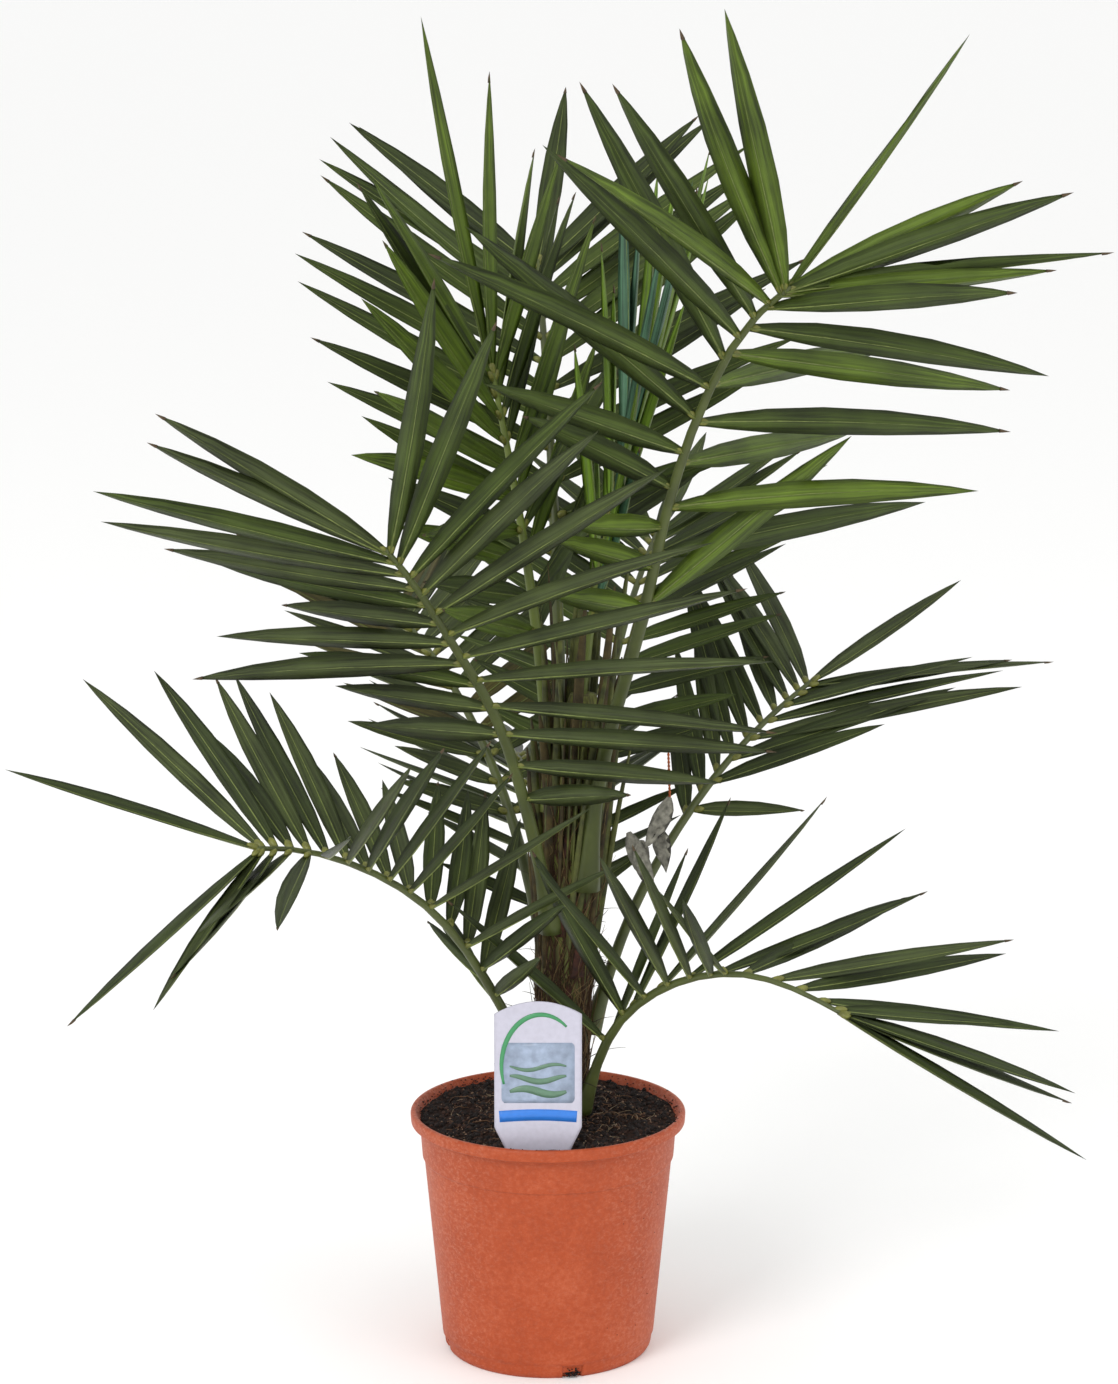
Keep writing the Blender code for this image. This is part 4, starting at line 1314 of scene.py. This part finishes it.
@dataclass
class NurseryPot:
    """The tapered pot: rolled lip, collar band, groove above its foot and four drain notches."""

    height: float = 0.170
    rim: float = 0.095
    wall: float = 0.0022
    floor: float = 0.004
    lip: float = 0.0085
    collar_top: float = 0.0885
    collar_foot: float = 0.1374
    collar_foot_radius: float = 0.0868
    body_top: float = 0.0855
    foot_height: float = 0.010
    foot: float = 0.0735
    base: float = 0.0705
    notches: int = 4
    notch_width: float = 0.014
    notch_height: float = 0.009
    notch_depth: float = 0.006
    first_notch: float = -76.5
    steps: int = 192
    foot_rows: int = 14

    def side(self, height: float) -> float:
        """The outer radius of the tapered wall at a height."""
        share = (height - self.foot_height) / (self.collar_foot - self.foot_height)
        return self.foot + share * (self.body_top - self.foot)

    def upper_profile(self) -> np.ndarray:
        """From the middle of the floor inside, over the lip and down to just above the groove."""
        under = self.height - self.lip
        points = [
            (0.0004, self.floor),
            (self.foot - self.wall, self.floor),
            (self.side(self.collar_foot) - self.wall, self.collar_foot + 0.002),
            (self.collar_top - self.wall, under),
            (self.rim - 0.0050, self.height - 0.0022),
            (self.rim - 0.0036, self.height),
            (self.rim - 0.0010, self.height),
            (self.rim, self.height - 0.0016),
            (self.rim - 0.0004, under + 0.0006),
            (self.rim - 0.0018, under),
            (self.collar_top, under - 0.0016),
            (self.collar_foot_radius, self.collar_foot),
            (self.body_top, self.collar_foot - 0.0012),
            (self.side(0.0125), 0.0125),
        ]
        return rounded(np.array(points), 0.0009)

    def lower_profile(self, cut: bool) -> np.ndarray:
        """From above the groove to the middle of the underside, in the same number of points.

        Args:
            cut: Whether a drain notch cuts the foot there.

        Returns:
            Radius and height of each point.
        """
        back = self.foot - self.notch_depth
        if cut:
            points = [(self.side(0.0115), 0.0115), (self.side(0.0095), self.notch_height + 0.0004)]
            points += [(self.foot - 0.0006, self.notch_height), (back, self.notch_height), (back, 0.0)]
        else:
            points = [(self.side(0.0112), 0.0112), (self.foot - 0.0008, 0.0098), (self.foot - 0.0010, 0.0088)]
            points += [(self.base + 0.0012, 0.003), (self.base - 0.0005, 0.0), (back, 0.0)]
        points = np.array(points)
        run = np.concatenate([[0], np.cumsum(np.linalg.norm(np.diff(points, axis=0), axis=1))])
        spots = np.linspace(0, run[-1], self.foot_rows)
        dense = np.stack([np.interp(spots, run, points[:, k]) for k in range(2)], -1)
        return np.concatenate([dense, [(0.0004, 0.0)]])

    def shape(self) -> Shape:
        """The pot: point (row, turn) is (r cos a, r sin a, z), with the profile's r and z at that turn."""
        half = math.degrees(math.asin(self.notch_width / 2 / self.foot))
        middles = self.first_notch + 360.0 / self.notches * np.arange(self.notches)
        edges = (middles[:, None] + np.array([-half - 0.05, -half + 0.05, half - 0.05, half + 0.05])).ravel()
        even = np.linspace(-180, 180, self.steps, endpoint=False)
        turns = np.sort(np.concatenate([even, (edges + 180) % 360 - 180]))
        away = np.abs((turns[:, None] - middles[None, :] + 180) % 360 - 180).min(1)
        cut = (away < half)[:, None]
        upper = np.repeat(self.upper_profile()[None], len(turns), 0)
        lower = np.where(cut[..., None], self.lower_profile(True)[None], self.lower_profile(False)[None])
        profile = np.concatenate([upper, lower], 1)
        turn = np.radians(turns)[:, None]
        r, z = profile[..., 0], profile[..., 1]
        points = np.stack([r * np.cos(turn), r * np.sin(turn), z], -1)
        rings = points.transpose(1, 0, 2)
        rows = np.arange(rings.shape[0])[:, None]
        uv = np.stack(np.broadcast_arrays(turn[:, 0][None] / math.pi, rows / len(rows)), -1)
        return capped(rings, uv, np.array([0, 0, self.floor]), np.array([0, 0, 0.0]))

    def build(self) -> None:
        """Makes the pot."""
        place("pot_shell", self.shape(), MouldedPolypropylene().made(), "terracotta_plastic", ("pot",))


@dataclass
class PottingSoil:
    """The compost with its relief, crumbs and roots, and what of it lies on the rim and in a drain notch."""

    edge: float = 0.0882
    drop: float = 0.0008
    walls: tuple[tuple[float, float], ...] = (
        (0.0877, 0.1640), (0.0857, 0.1608), (0.0827, 0.1394), (0.0707, 0.0043), (0.001, 0.0043),
    )
    rim: tuple[float, float] = (0.0880, 0.0925)
    rim_height: tuple[float, float] = (0.1662, 0.1702)
    bare: tuple[float, float, float, float] = (-0.034, 0.022, -0.090, -0.0750)
    notch_turn: float = -76.5
    notch_reach: tuple[float, float] = (0.0684, 0.0728)
    rings: int = 64
    turns: int = 120
    lumps: float = 0.0019
    crumbs: int = 4200
    roots: int = 80
    root_lengths: tuple[float, float] = (0.006, 0.022)
    seed: int = 41

    def height(self, x: np.ndarray, y: np.ndarray) -> np.ndarray:
        """The soil's surface: top - drop * (r / edge)^3 + lumps * relief, calmer at the edge.

        Args:
            x: Places across.
            y: Places in depth.

        Returns:
            Heights in metres.
        """
        rng = np.random.default_rng(self.seed)
        r = np.hypot(x, y)
        points = np.stack([x, y, np.zeros_like(x)], -1)
        relief = 0.6 * rough(points, 0.016, rng) + 0.4 * rough(points, 0.006, rng)
        calm = 1 - 0.6 * (r / self.edge) ** 6
        return SOIL_TOP - self.drop * (r / self.edge) ** 3 + self.lumps * relief * calm

    def body(self) -> Shape:
        """The filling: the relief on top, then the pot's inner wall and floor a gap away."""
        turn = np.linspace(0, 2 * math.pi, self.turns, endpoint=False)
        r = self.edge * np.linspace(0.01, 1.0, self.rings) ** 0.8
        x, y = r[:, None] * np.cos(turn), r[:, None] * np.sin(turn)
        top = np.stack([x, y, self.height(x, y)], -1)
        radii, heights = np.array(self.walls).T[:, :, None]
        level = np.broadcast_to(heights, (len(self.walls), self.turns))
        rings = np.concatenate([top, np.stack([radii * np.cos(turn), radii * np.sin(turn), level], -1)])
        uv = rings[..., :2] * 10
        return capped(rings, uv, top[0].mean(0), np.array([0, 0, self.walls[-1][1]]))

    def crumb_shapes(self, rng: np.random.Generator, count: int, least: float, most: float) -> Shape:
        """Crumbs scattered over the soil, half sunk in it, except in front of the label.

        Args:
            rng: Where places and sizes come from.
            count: How many.
            least: The smallest radius.
            most: The largest radius.

        Returns:
            One shape of all the crumbs.
        """
        r = (self.edge - 0.001) * np.sqrt(rng.random(count))
        turn = rng.uniform(0, 2 * math.pi, count)
        x, y = r * np.cos(turn), r * np.sin(turn)
        west, east, south, north = self.bare
        clear = (x < west) | (x > east) | (y < south) | (y > north)
        x, y = x[clear], y[clear]
        return self.crumbs_at(np.stack([x, y, self.height(x, y) + least * 0.3], -1), rng, least, most)

    def crumbs_at(self, spots: np.ndarray, rng: np.random.Generator, least: float, most: float) -> Shape:
        """Octahedra with their corners drawn in and out, one at each place.

        Args:
            spots: Their middles, of shape (n, 3).
            rng: Where sizes and turns come from.
            least: The smallest radius.
            most: The largest radius.

        Returns:
            One shape of all the crumbs.
        """
        count = len(spots)
        corners = np.array([(1, 0, 0), (0, 1, 0), (-1, 0, 0), (0, -1, 0), (0, 0, 1), (0, 0, -1)], float)
        k = np.arange(4)
        after = (k + 1) % 4
        over, under = np.stack([k, after, np.full(4, 4)], -1), np.stack([after, k, np.full(4, 5)], -1)
        faces = np.concatenate([over, under])
        size = rng.uniform(least, most, (count, 1, 1)) * rng.uniform(0.5, 1.4, (count, 6, 1))
        yaw = rng.uniform(0, 2 * math.pi, count)
        spin = np.zeros((count, 3, 3))
        spin[:, 0, 0] = spin[:, 1, 1] = np.cos(yaw)
        spin[:, 0, 1], spin[:, 1, 0] = -np.sin(yaw), np.sin(yaw)
        spin[:, 2, 2] = 0.7
        verts = (corners[None] * size) @ spin.transpose(0, 2, 1)
        verts += spots[:, None]
        tris = (faces[None] + (np.arange(count) * 6)[:, None, None]).reshape(-1, 3)
        flat = verts.reshape(-1, 3)
        return Shape(flat, no_faces(4), tris, flat[:, :2] * 10).outward()

    def rim_spots(self, rng: np.random.Generator, count: int) -> np.ndarray:
        """Places on the lip's inner slope: height and radius rise together, most of them low down."""
        share = rng.random(count) ** 1.6
        turn = rng.uniform(0, 2 * math.pi, count)
        r = self.rim[0] + share * (self.rim[1] - self.rim[0])
        z = self.rim_height[0] + share * (self.rim_height[1] - self.rim_height[0])
        return np.stack([r * np.cos(turn), r * np.sin(turn), z], -1)

    def notch_spots(self, rng: np.random.Generator, count: int) -> np.ndarray:
        """Places within the drain notch that faces the viewer, most at the back of it."""
        r = self.notch_reach[0] + (self.notch_reach[1] - self.notch_reach[0]) * rng.random(count) ** 1.5
        turn = np.radians(self.notch_turn + rng.uniform(-3.6, 3.6, count))
        return np.stack([r * np.cos(turn), r * np.sin(turn), rng.uniform(0.0012, 0.0078, count)], -1)

    def speck_spots(self, rng: np.random.Generator, count: int) -> np.ndarray:
        """Places on the pot's outer wall below its collar, where wet crumbs have stuck."""
        z = rng.uniform(0.02, 0.13, count)
        turn = np.radians(rng.uniform(-60, 20, count))
        r = 0.0736 + (z - 0.010) / 0.1274 * 0.0120
        return np.stack([r * np.cos(turn), r * np.sin(turn), z], -1)

    def root_shapes(self, rng: np.random.Generator, count: int, radius: float) -> Shape:
        """Roots and fibres: thin tubes that wander over the soil, near to it.

        Args:
            rng: Where their places come from.
            count: How many.
            radius: Their radius in metres.

        Returns:
            One shape of all the roots.
        """
        found = []
        t = np.linspace(0, 1, 9)
        for _ in range(count):
            start = (self.edge - 0.02) * np.sqrt(rng.random())
            turn, way = rng.uniform(0, 2 * math.pi, 2)
            length = rng.uniform(*self.root_lengths)
            bend = rng.normal(0.0, 1.1)
            x = start * math.cos(turn) + length * t * np.cos(way + bend * t)
            y = start * math.sin(turn) + length * t * np.sin(way + bend * t)
            inside = np.minimum(1.0, (self.edge - 0.002) / np.maximum(np.hypot(x, y), 1e-6))
            x, y = x * inside, y * inside
            z = self.height(x, y) + radius + 0.0016 * np.sin(math.pi * t) * rng.random()
            found.append(sweep(np.stack([x, y, z], -1), radius * (1.1 - 0.7 * t), 5))
        return joined(found)

    def build(self) -> None:
        """Makes the soil, its crumbs and its roots."""
        place("soil_filling", self.body(), Compost().made(), "potting_soil", ("soil",))
        rng = np.random.default_rng(self.seed + 1)
        kinds = (
            ("soil_crumbs_dark", "180C08", self.crumbs // 2, 0.0008, 0.0028),
            ("soil_crumbs_brown", "3C2418", self.crumbs // 3, 0.0007, 0.0022),
            ("soil_flecks_pale", "8A6E58", self.crumbs // 6, 0.0004, 0.0012),
        )
        for name, tint, count, least, most in kinds:
            crumbs = self.crumb_shapes(rng, count, least, most)
            place(name, crumbs, PlainMatter(name, tint, 0.9).made(), "potting_soil")
        rim = self.crumbs_at(self.rim_spots(rng, 420), rng, 0.0003, 0.0010)
        specks = self.crumbs_at(self.speck_spots(rng, 26), rng, 0.0002, 0.0007)
        dirt = PlainMatter("rim_dirt", "2A170F", 0.9).made()
        place("soil_crumbs_rim", joined([rim, specks]), dirt, "potting_soil")
        plug = self.crumbs_at(self.notch_spots(rng, 150), rng, 0.0005, 0.0012)
        place("soil_notch_plug", plug, PlainMatter("notch_dirt", "1E110B", 0.9).made(), "potting_soil")
        outward = np.array([1.004, 1.004, 1.0])
        shreds = self.crumbs_at(self.notch_spots(rng, 16) * outward, rng, 0.0003, 0.0009)
        place("soil_notch_shreds", shreds, PlainMatter("bark_shreds", "A8562A", 0.85).made(), "potting_soil")
        brown = PlainMatter("root_brown", "6A4B33", 0.85).made()
        place("soil_roots", self.root_shapes(rng, self.roots, 0.0004), brown, "potting_soil")
        pale = PlainMatter("root_pale", "A08A6C").made()
        place("soil_fibres", self.root_shapes(rng, self.roots, 0.0002), pale, "potting_soil")


@dataclass
class PlantLabel:
    """The arched plastic label with a plain design of a panel, a band, an arc and waves."""

    centre: float = -0.0064
    y: float = -0.076
    width: float = 0.0586
    thickness: float = 0.0012
    top: float = 0.2685
    arch: float = 0.0088
    shoulder: float = 0.181
    stake_width: float = 0.016
    stake_top: float = 0.136
    point: float = 0.105
    ink: float = 0.00006
    rows: int = 72
    columns: int = 24

    def half_width(self, z: np.ndarray) -> np.ndarray:
        """Half the label's width: a parabola over the arch, straight sides, then tapering to the stake.

        Args:
            z: Heights.

        Returns:
            Half widths in metres.
        """
        half, stake = self.width / 2, self.stake_width / 2
        heights = [self.point, self.point + 0.012, self.stake_top, self.shoulder, self.top]
        side = np.interp(z, heights, [stake * 0.3, stake, stake, half, half])
        curve = half * np.sqrt(np.clip((self.top - z) / self.arch, 0.0, 1.0))
        return np.minimum(side, curve)

    def card(self) -> Shape:
        """The card: point (u, z) is (centre + u w(z), y -+ thickness / 2, z)."""
        foot = np.linspace(self.point, self.top - self.arch, self.rows)
        cap = self.top - self.arch * np.linspace(0.96, 0.002, 18) ** 1.6
        z = np.concatenate([foot, cap])
        u = np.linspace(-1, 1, self.columns)
        round_u = np.concatenate([u, u[::-1]])
        face = np.concatenate([np.full(len(u), -0.5), np.full(len(u), 0.5)]) * self.thickness
        x = self.centre + round_u[None] * self.half_width(z)[:, None]
        rings = np.stack(np.broadcast_arrays(x, self.y + face[None], z[:, None]), -1)
        uv = rings[..., [0, 2]]
        first = np.array([self.centre, self.y, z[0]])
        return capped(rings, uv, first, np.array([self.centre, self.y, self.top]))

    def strip(self, points: np.ndarray, wide: np.ndarray, layer: int = 0) -> Shape:
        """A strip along a line: outline points +- half its width at each point.

        Args:
            points: The line's X and Z, of shape (n, 2).
            wide: Half widths.
            layer: How many printed layers lie under it.

        Returns:
            The printed strip.
        """
        way = np.gradient(points, axis=0)
        way /= np.linalg.norm(way, axis=1, keepdims=True)
        aside = np.stack([-way[:, 1], way[:, 0]], -1) * wide[:, None]
        left, right = points + aside, points - aside
        y = self.y - self.thickness / 2 - layer * self.ink
        lifted = [
            np.stack([p[:, 0], np.full(len(p), y - lift), p[:, 1]], -1)
            for p, lift in ((left, 0.0), (left, self.ink), (right, self.ink), (right, 0.0))
        ]
        rings = np.stack(lifted, 1)
        return capped(rings, rings[..., [0, 2]], rings[0].mean(0), rings[-1].mean(0))

    def build(self) -> None:
        """Makes the card and its plain design."""
        card = PlainMatter("printed_card", "BDBBC9", 0.35, 0.03).made()
        place("label_card", self.card(), card, "label_card", ("label",))
        x0 = self.centre
        t = np.linspace(0, 1, 28)
        panel = np.stack([np.full(28, x0), 0.198 + 0.042 * t], -1)
        wide = 0.0245 * np.minimum(1.0, 0.86 + 3.0 * np.minimum(t, 1 - t)) ** 0.5
        soft_blue = PlainMatter("soft_blue_ink", "98A6BC", 0.35, 0.12, 0.006).made()
        place("label_panel", self.strip(panel, wide), soft_blue, "label_card")
        band = np.stack([x0 + 0.026 * (2 * t - 1), 0.1885 + 0.0012 * np.sin(math.pi * t)], -1)
        blue = PlainMatter("blue_ink", "2F78D2", 0.35, 0.03).made()
        place("label_band", self.strip(band, np.full(28, 0.0040)), blue, "label_card")
        swing = np.radians(200 - 150 * t)
        arc = np.stack([x0 + 0.002 + 0.0265 * np.cos(swing), 0.2235 + 0.036 * np.sin(swing)], -1)
        green = PlainMatter("green_ink", "3F8E5B", 0.35, 0.03).made()
        wide = 0.0017 * np.sin(math.pi * (0.06 + 0.88 * t)) ** 0.5
        place("label_arc", self.strip(arc, wide, 1), green, "label_card")
        waves = []
        for layer, (rise, wide) in enumerate(((0.206, 0.0028), (0.215, 0.0021), (0.223, 0.0014))):
            swell = rise + 0.0020 * np.sin(2 * math.pi * (t + 0.22 * layer))
            line = np.stack([x0 + 0.019 * (2 * t - 1), swell], -1)
            waves.append(self.strip(line, wide * np.sin(math.pi * (0.04 + 0.92 * t)) ** 0.5, 1 + layer))
        soft_green = PlainMatter("soft_green_ink", "5E7F68", 0.35, 0.04).made()
        place("label_waves", joined(waves), soft_green, "label_card")


@dataclass
class PalmStem:
    """The stem of packed leaf bases, with its fibres and dry sheath scales."""

    foot: float = SOIL_TOP + GAP
    top: float = 0.462
    foot_x: float = 0.006
    lean: float = 0.06
    shares: tuple[float, ...] = (0.0, 0.06, 0.2, 0.5, 0.8, 0.94, 1.0)
    radii: tuple[float, ...] = (0.0220, 0.0190, 0.0178, 0.0176, 0.0162, 0.0135, 0.009)
    bases: int = 17
    golden: float = 137.5
    rows: int = 150
    turns: int = 108
    fibres: int = 640
    hairs: int = 26
    strands: int = 44
    strand_feet: tuple[float, float] = (0.25, 0.40)
    strand_lengths: tuple[float, float] = (0.09, 0.19)
    strand_spread: tuple[float, float] = (0.002, 0.020)
    seed: int = 77

    def radius(self, z: np.ndarray) -> np.ndarray:
        """The stem's true taper with its flared foot."""
        return np.interp((z - self.foot) / (self.top - self.foot), self.shares, self.radii)

    def axis(self, z: np.ndarray) -> np.ndarray:
        """The stem's middle at a height: x = foot_x + lean * (z - foot)."""
        return np.stack([self.foot_x + self.lean * (z - self.foot), np.zeros_like(z), z], -1)

    def relief(self, turn: np.ndarray, z: np.ndarray) -> np.ndarray:
        """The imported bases: base k stands at k * 137.5 degrees, a rounded rib 50 degrees to each side.

        Args:
            turn: Angles round the stem.
            z: Heights.

        Returns:
            How far the surface stands out, as a share of the radius.
        """
        k = np.arange(self.bases)
        starts = self.foot - 0.03 + (self.top - self.foot) * k / self.bases
        middles = np.radians(k * self.golden)
        gap = (turn[..., None] - middles + math.pi) % (2 * math.pi) - math.pi
        across = np.clip(1 - (gap / math.radians(50)) ** 2, 0, 1) ** 0.6
        above = z[..., None] - starts
        rise = np.clip(above / 0.05, 0, 1) * np.clip((0.17 - above) / 0.08, 0, 1)
        return (across * rise).max(-1)

    def surface(self, turn: np.ndarray, z: np.ndarray, lift: float = 0.0) -> np.ndarray:
        """A point on the bark: axis + radius * (0.93 + 0.11 relief) + lift, turned to its angle.

        Args:
            turn: Angles round the stem.
            z: Heights.
            lift: How far above the bark, in metres.

        Returns:
            Points.
        """
        r = self.radius(z) * (0.93 + 0.11 * self.relief(turn, z)) + lift
        return self.axis(z) + np.stack([r * np.cos(turn), r * np.sin(turn), np.zeros_like(r)], -1)

    def bark(self) -> Shape:
        """The bark's relief on a grid of turns and heights."""
        z = np.linspace(self.foot, self.top, self.rows)
        turn = np.linspace(0, 2 * math.pi, self.turns, endpoint=False)
        grid_z, grid_turn = np.meshgrid(z, turn, indexing="ij")
        rings = self.surface(grid_turn, grid_z)
        uv = np.stack([grid_turn / math.pi - 1, grid_z], -1)
        return capped(rings, uv, self.axis(np.array([self.foot]))[0], self.axis(np.array([self.top]))[0])

    def fibre_shapes(self, rng: np.random.Generator, count: int, radius: float, loose: float) -> Shape:
        """Fibres: thin tubes that climb the bark and stand off it towards their ends.

        Args:
            rng: Where their places come from.
            count: How many.
            radius: Their radius in metres.
            loose: How far the loosest end stands off, in metres.

        Returns:
            One shape of all the fibres.
        """
        t = np.linspace(0, 1, 10)
        found = []
        for _ in range(count):
            turn = rng.uniform(0, 2 * math.pi) + rng.normal(0, 0.5) * t
            turn += 0.15 * np.sin(7 * t + rng.uniform(0, 6))
            start = self.foot + (self.top - 0.09 - self.foot) * rng.random() ** 1.3
            z = start + rng.uniform(0.02, 0.075) * t
            off = loose * rng.random() ** 3 * t**2
            r = self.radius(z) * (0.93 + 0.11 * self.relief(turn, z)) + 0.0004 + off
            path = self.axis(z) + np.stack([r * np.cos(turn), r * np.sin(turn), np.zeros_like(r)], -1)
            found.append(sweep(path, radius * (1.1 - 0.8 * t), 4))
        return joined(found)

    def hair_shapes(self, rng: np.random.Generator) -> Shape:
        """Stiff dark hairs of old sheaths: they leave the bark sideways and bend down towards their ends."""
        t = np.linspace(0, 1, 9)
        found = []
        for _ in range(self.hairs):
            turn = rng.uniform(0, 2 * math.pi)
            start = np.array([self.foot + rng.uniform(0.012, 0.16)])
            root = self.surface(np.array([turn]), start, -0.001)[0]
            aside = math.cos(turn + rng.normal(0, 0.5)), math.sin(turn + rng.normal(0, 0.5))
            way = np.array([*aside, rng.uniform(0, 0.6)])
            length = rng.uniform(0.014, 0.036)
            fall = np.array([0, 0, -rng.uniform(0.1, 0.6)])
            path = root + length * (t[:, None] * way + (t**2)[:, None] * fall)
            found.append(sweep(path, 0.0004 * (1.1 - 0.8 * t), 4))
        return joined(found)

    def strand_shapes(self, rng: np.random.Generator) -> Shape:
        """The edges of leaf bases round the heart: flat strands that stand up and lean away from it."""
        t = np.linspace(0, 1, 14)
        found = []
        for _ in range(self.strands):
            turn = rng.uniform(0, 2 * math.pi) + rng.normal(0, 0.12) * t
            z = rng.uniform(*self.strand_feet) + rng.uniform(*self.strand_lengths) * t
            r = self.radius(z[0]) + rng.uniform(*self.strand_spread) * t**1.4
            path = self.axis(z) + np.stack([r * np.cos(turn), r * np.sin(turn), np.zeros_like(r)], -1)
            wide = rng.uniform(0.0022, 0.0042) * np.sin(math.pi * (0.18 + 0.80 * t)) ** 0.7
            found.append(sweep(path, wide, 7, 0.4))
        return joined(found)

    def scale(self, turn: float, foot: float, height: float, width: float, rng: np.random.Generator) -> Shape:
        """A dry sheath scale: a patch off the bark, with a ragged upper edge.

        Args:
            turn: Its middle angle in degrees.
            foot: The height of its foot.
            height: How tall it is.
            width: Its width in degrees.
            rng: Where its ragged edge comes from.

        Returns:
            The closed thin patch.
        """
        v = np.linspace(0, 1, 12)
        u = np.linspace(-1, 1, 14)
        ragged = 1 - 0.35 * rng.random(len(u)) * (np.arange(len(u)) % 2)
        grid_v, grid_u = np.meshgrid(v, u, indexing="ij")
        z = foot + height * grid_v * ragged[None] * (1 - 0.35 * grid_u**2)
        angle = np.radians(turn + width / 2 * grid_u * (1 - 0.45 * grid_v))
        outer = self.surface(angle, z, 0.0012)
        inner = self.surface(angle, z, 0.0005)
        rings = np.concatenate([outer, inner[:, ::-1]], 1)
        return capped(rings, rings[..., :2], rings[0].mean(0), rings[-1].mean(0))

    def build(self) -> None:
        """Makes the bark, its fibres, strands, hairs and scales."""
        place("stem_bark", self.bark(), SheathBark().made(), "stem_sheaths", ("stem",))
        rng = np.random.default_rng(self.seed)
        brown = PlainMatter("dry_fibre_brown", "40290F", 0.9).made()
        pale = PlainMatter("dry_fibre_pale", "7C6440", 0.9).made()
        thick = self.fibre_shapes(rng, self.fibres, 0.00045, 0.010)
        place("stem_fibres_brown", thick, brown, "stem_sheaths")
        thin = self.fibre_shapes(rng, self.fibres // 3, 0.0003, 0.016)
        place("stem_fibres_pale", thin, pale, "stem_sheaths")
        olive = PlainMatter("leaf_base_olive", "4F5420", 0.6, 0.35, 0.01).made()
        tan = PlainMatter("leaf_base_tan", "453A18", 0.8, 0.35, 0.01).made()
        place("stem_strands_olive", self.strand_shapes(rng), olive, "stem_sheaths")
        place("stem_strands_tan", self.strand_shapes(rng), tan, "stem_sheaths")
        dark = PlainMatter("dark_hair", "2C1F14", 0.8).made()
        place("stem_hairs", self.hair_shapes(rng), dark, "stem_sheaths")
        places = (
            (-72, 0.318, 0.036, 34), (-98, 0.297, 0.034, 30), (-66, 0.268, 0.030, 30),
            (-84, 0.226, 0.040, 36), (-60, 0.402, 0.036, 36), (-104, 0.352, 0.030, 28),
            (30, 0.250, 0.040, 44), (110, 0.290, 0.040, 44), (170, 0.230, 0.040, 44),
            (200, 0.330, 0.040, 36), (75, 0.370, 0.036, 34),
        )
        scales = joined([self.scale(*spot, rng) for spot in places])
        red_brown = PlainMatter("red_brown_sheath", "43200F", 0.8, 0.35, 0.004).made()
        place("sheath_scales", scales, red_brown, "stem_sheaths")


@dataclass
class Studio:
    """Pale floor, soft light and the photograph's camera."""

    eye: tuple[float, float, float] = (0.0076, -2.5, 0.972)
    pitch: float = 78.5
    lens: float = 3776 / 1384 * 36
    floor_half: float = 90.0
    floor_tint: str = "F9F9F8"
    sky: float = 1.0

    def camera(self) -> None:
        """The camera: a level heading and a pitch below the horizon."""
        data = bpy.data.cameras.new("photo_camera")
        data.lens = self.lens
        data.sensor_width = 36.0
        obj = bpy.data.objects.new("photo_camera", data)
        obj.location = self.eye
        obj.rotation_euler = (math.radians(self.pitch), 0.0, 0.0)
        bpy.context.scene.collection.objects.link(obj)
        bpy.context.scene.camera = obj

    def floor(self) -> None:
        """The floor: one wide pale square under the pot."""
        h = self.floor_half
        mesh = bpy.data.meshes.new("studio_floor")
        mesh.from_pydata([(-h, -h, 0), (h, -h, 0), (h, h, 0), (-h, h, 0)], [], [(0, 1, 2, 3)])
        material, _, shader = new_material("pale_floor")
        shader.inputs["Base Color"].default_value = linear(self.floor_tint)
        shader.inputs["Roughness"].default_value = 0.9
        mesh.materials.append(material)
        obj = bpy.data.objects.new("studio_floor", mesh)
        bpy.context.scene.collection.objects.link(obj)

    def lamp(self, name: str, spot: tuple[float, float, float], size: float, watts: float) -> None:
        """A square soft box aimed at the crown.

        Args:
            name: The lamp's name.
            spot: Where it hangs.
            size: The side of the square in metres.
            watts: Its power.
        """
        data = bpy.data.lights.new(name, "AREA")
        data.size = size
        data.energy = watts
        obj = bpy.data.objects.new(name, data)
        obj.location = spot
        aim = np.array([0.0, 0.0, 0.45]) - np.array(spot)
        yaw = math.atan2(aim[1], aim[0]) - math.pi / 2
        obj.rotation_euler = (math.acos(-aim[2] / np.linalg.norm(aim)), 0.0, yaw)
        bpy.context.scene.collection.objects.link(obj)

    def build(self) -> None:
        """Makes the studio."""
        self.camera()
        self.floor()
        world = bpy.data.worlds.new("studio_white")
        world.use_nodes = True
        world.node_tree.nodes["Background"].inputs["Color"].default_value = (1.0, 1.0, 1.0, 1.0)
        world.node_tree.nodes["Background"].inputs["Strength"].default_value = self.sky
        bpy.context.scene.world = world
        bpy.context.scene.view_settings.view_transform = "Standard"
        self.lamp("key_box", (-1.5, -2.2, 2.4), 1.3, 48.0)
        self.lamp("fill_box", (2.2, -1.6, 1.4), 1.8, 14.0)


def main() -> None:
    """Builds the studio and the palm, piece by piece."""
    logging.basicConfig(level=logging.INFO, format="%(name)s %(message)s")
    Studio().build()
    NurseryPot().build()
    PottingSoil().build()
    PlantLabel().build()
    PalmStem().build()
    Crown().build()


if __name__ == "__main__":
    main()
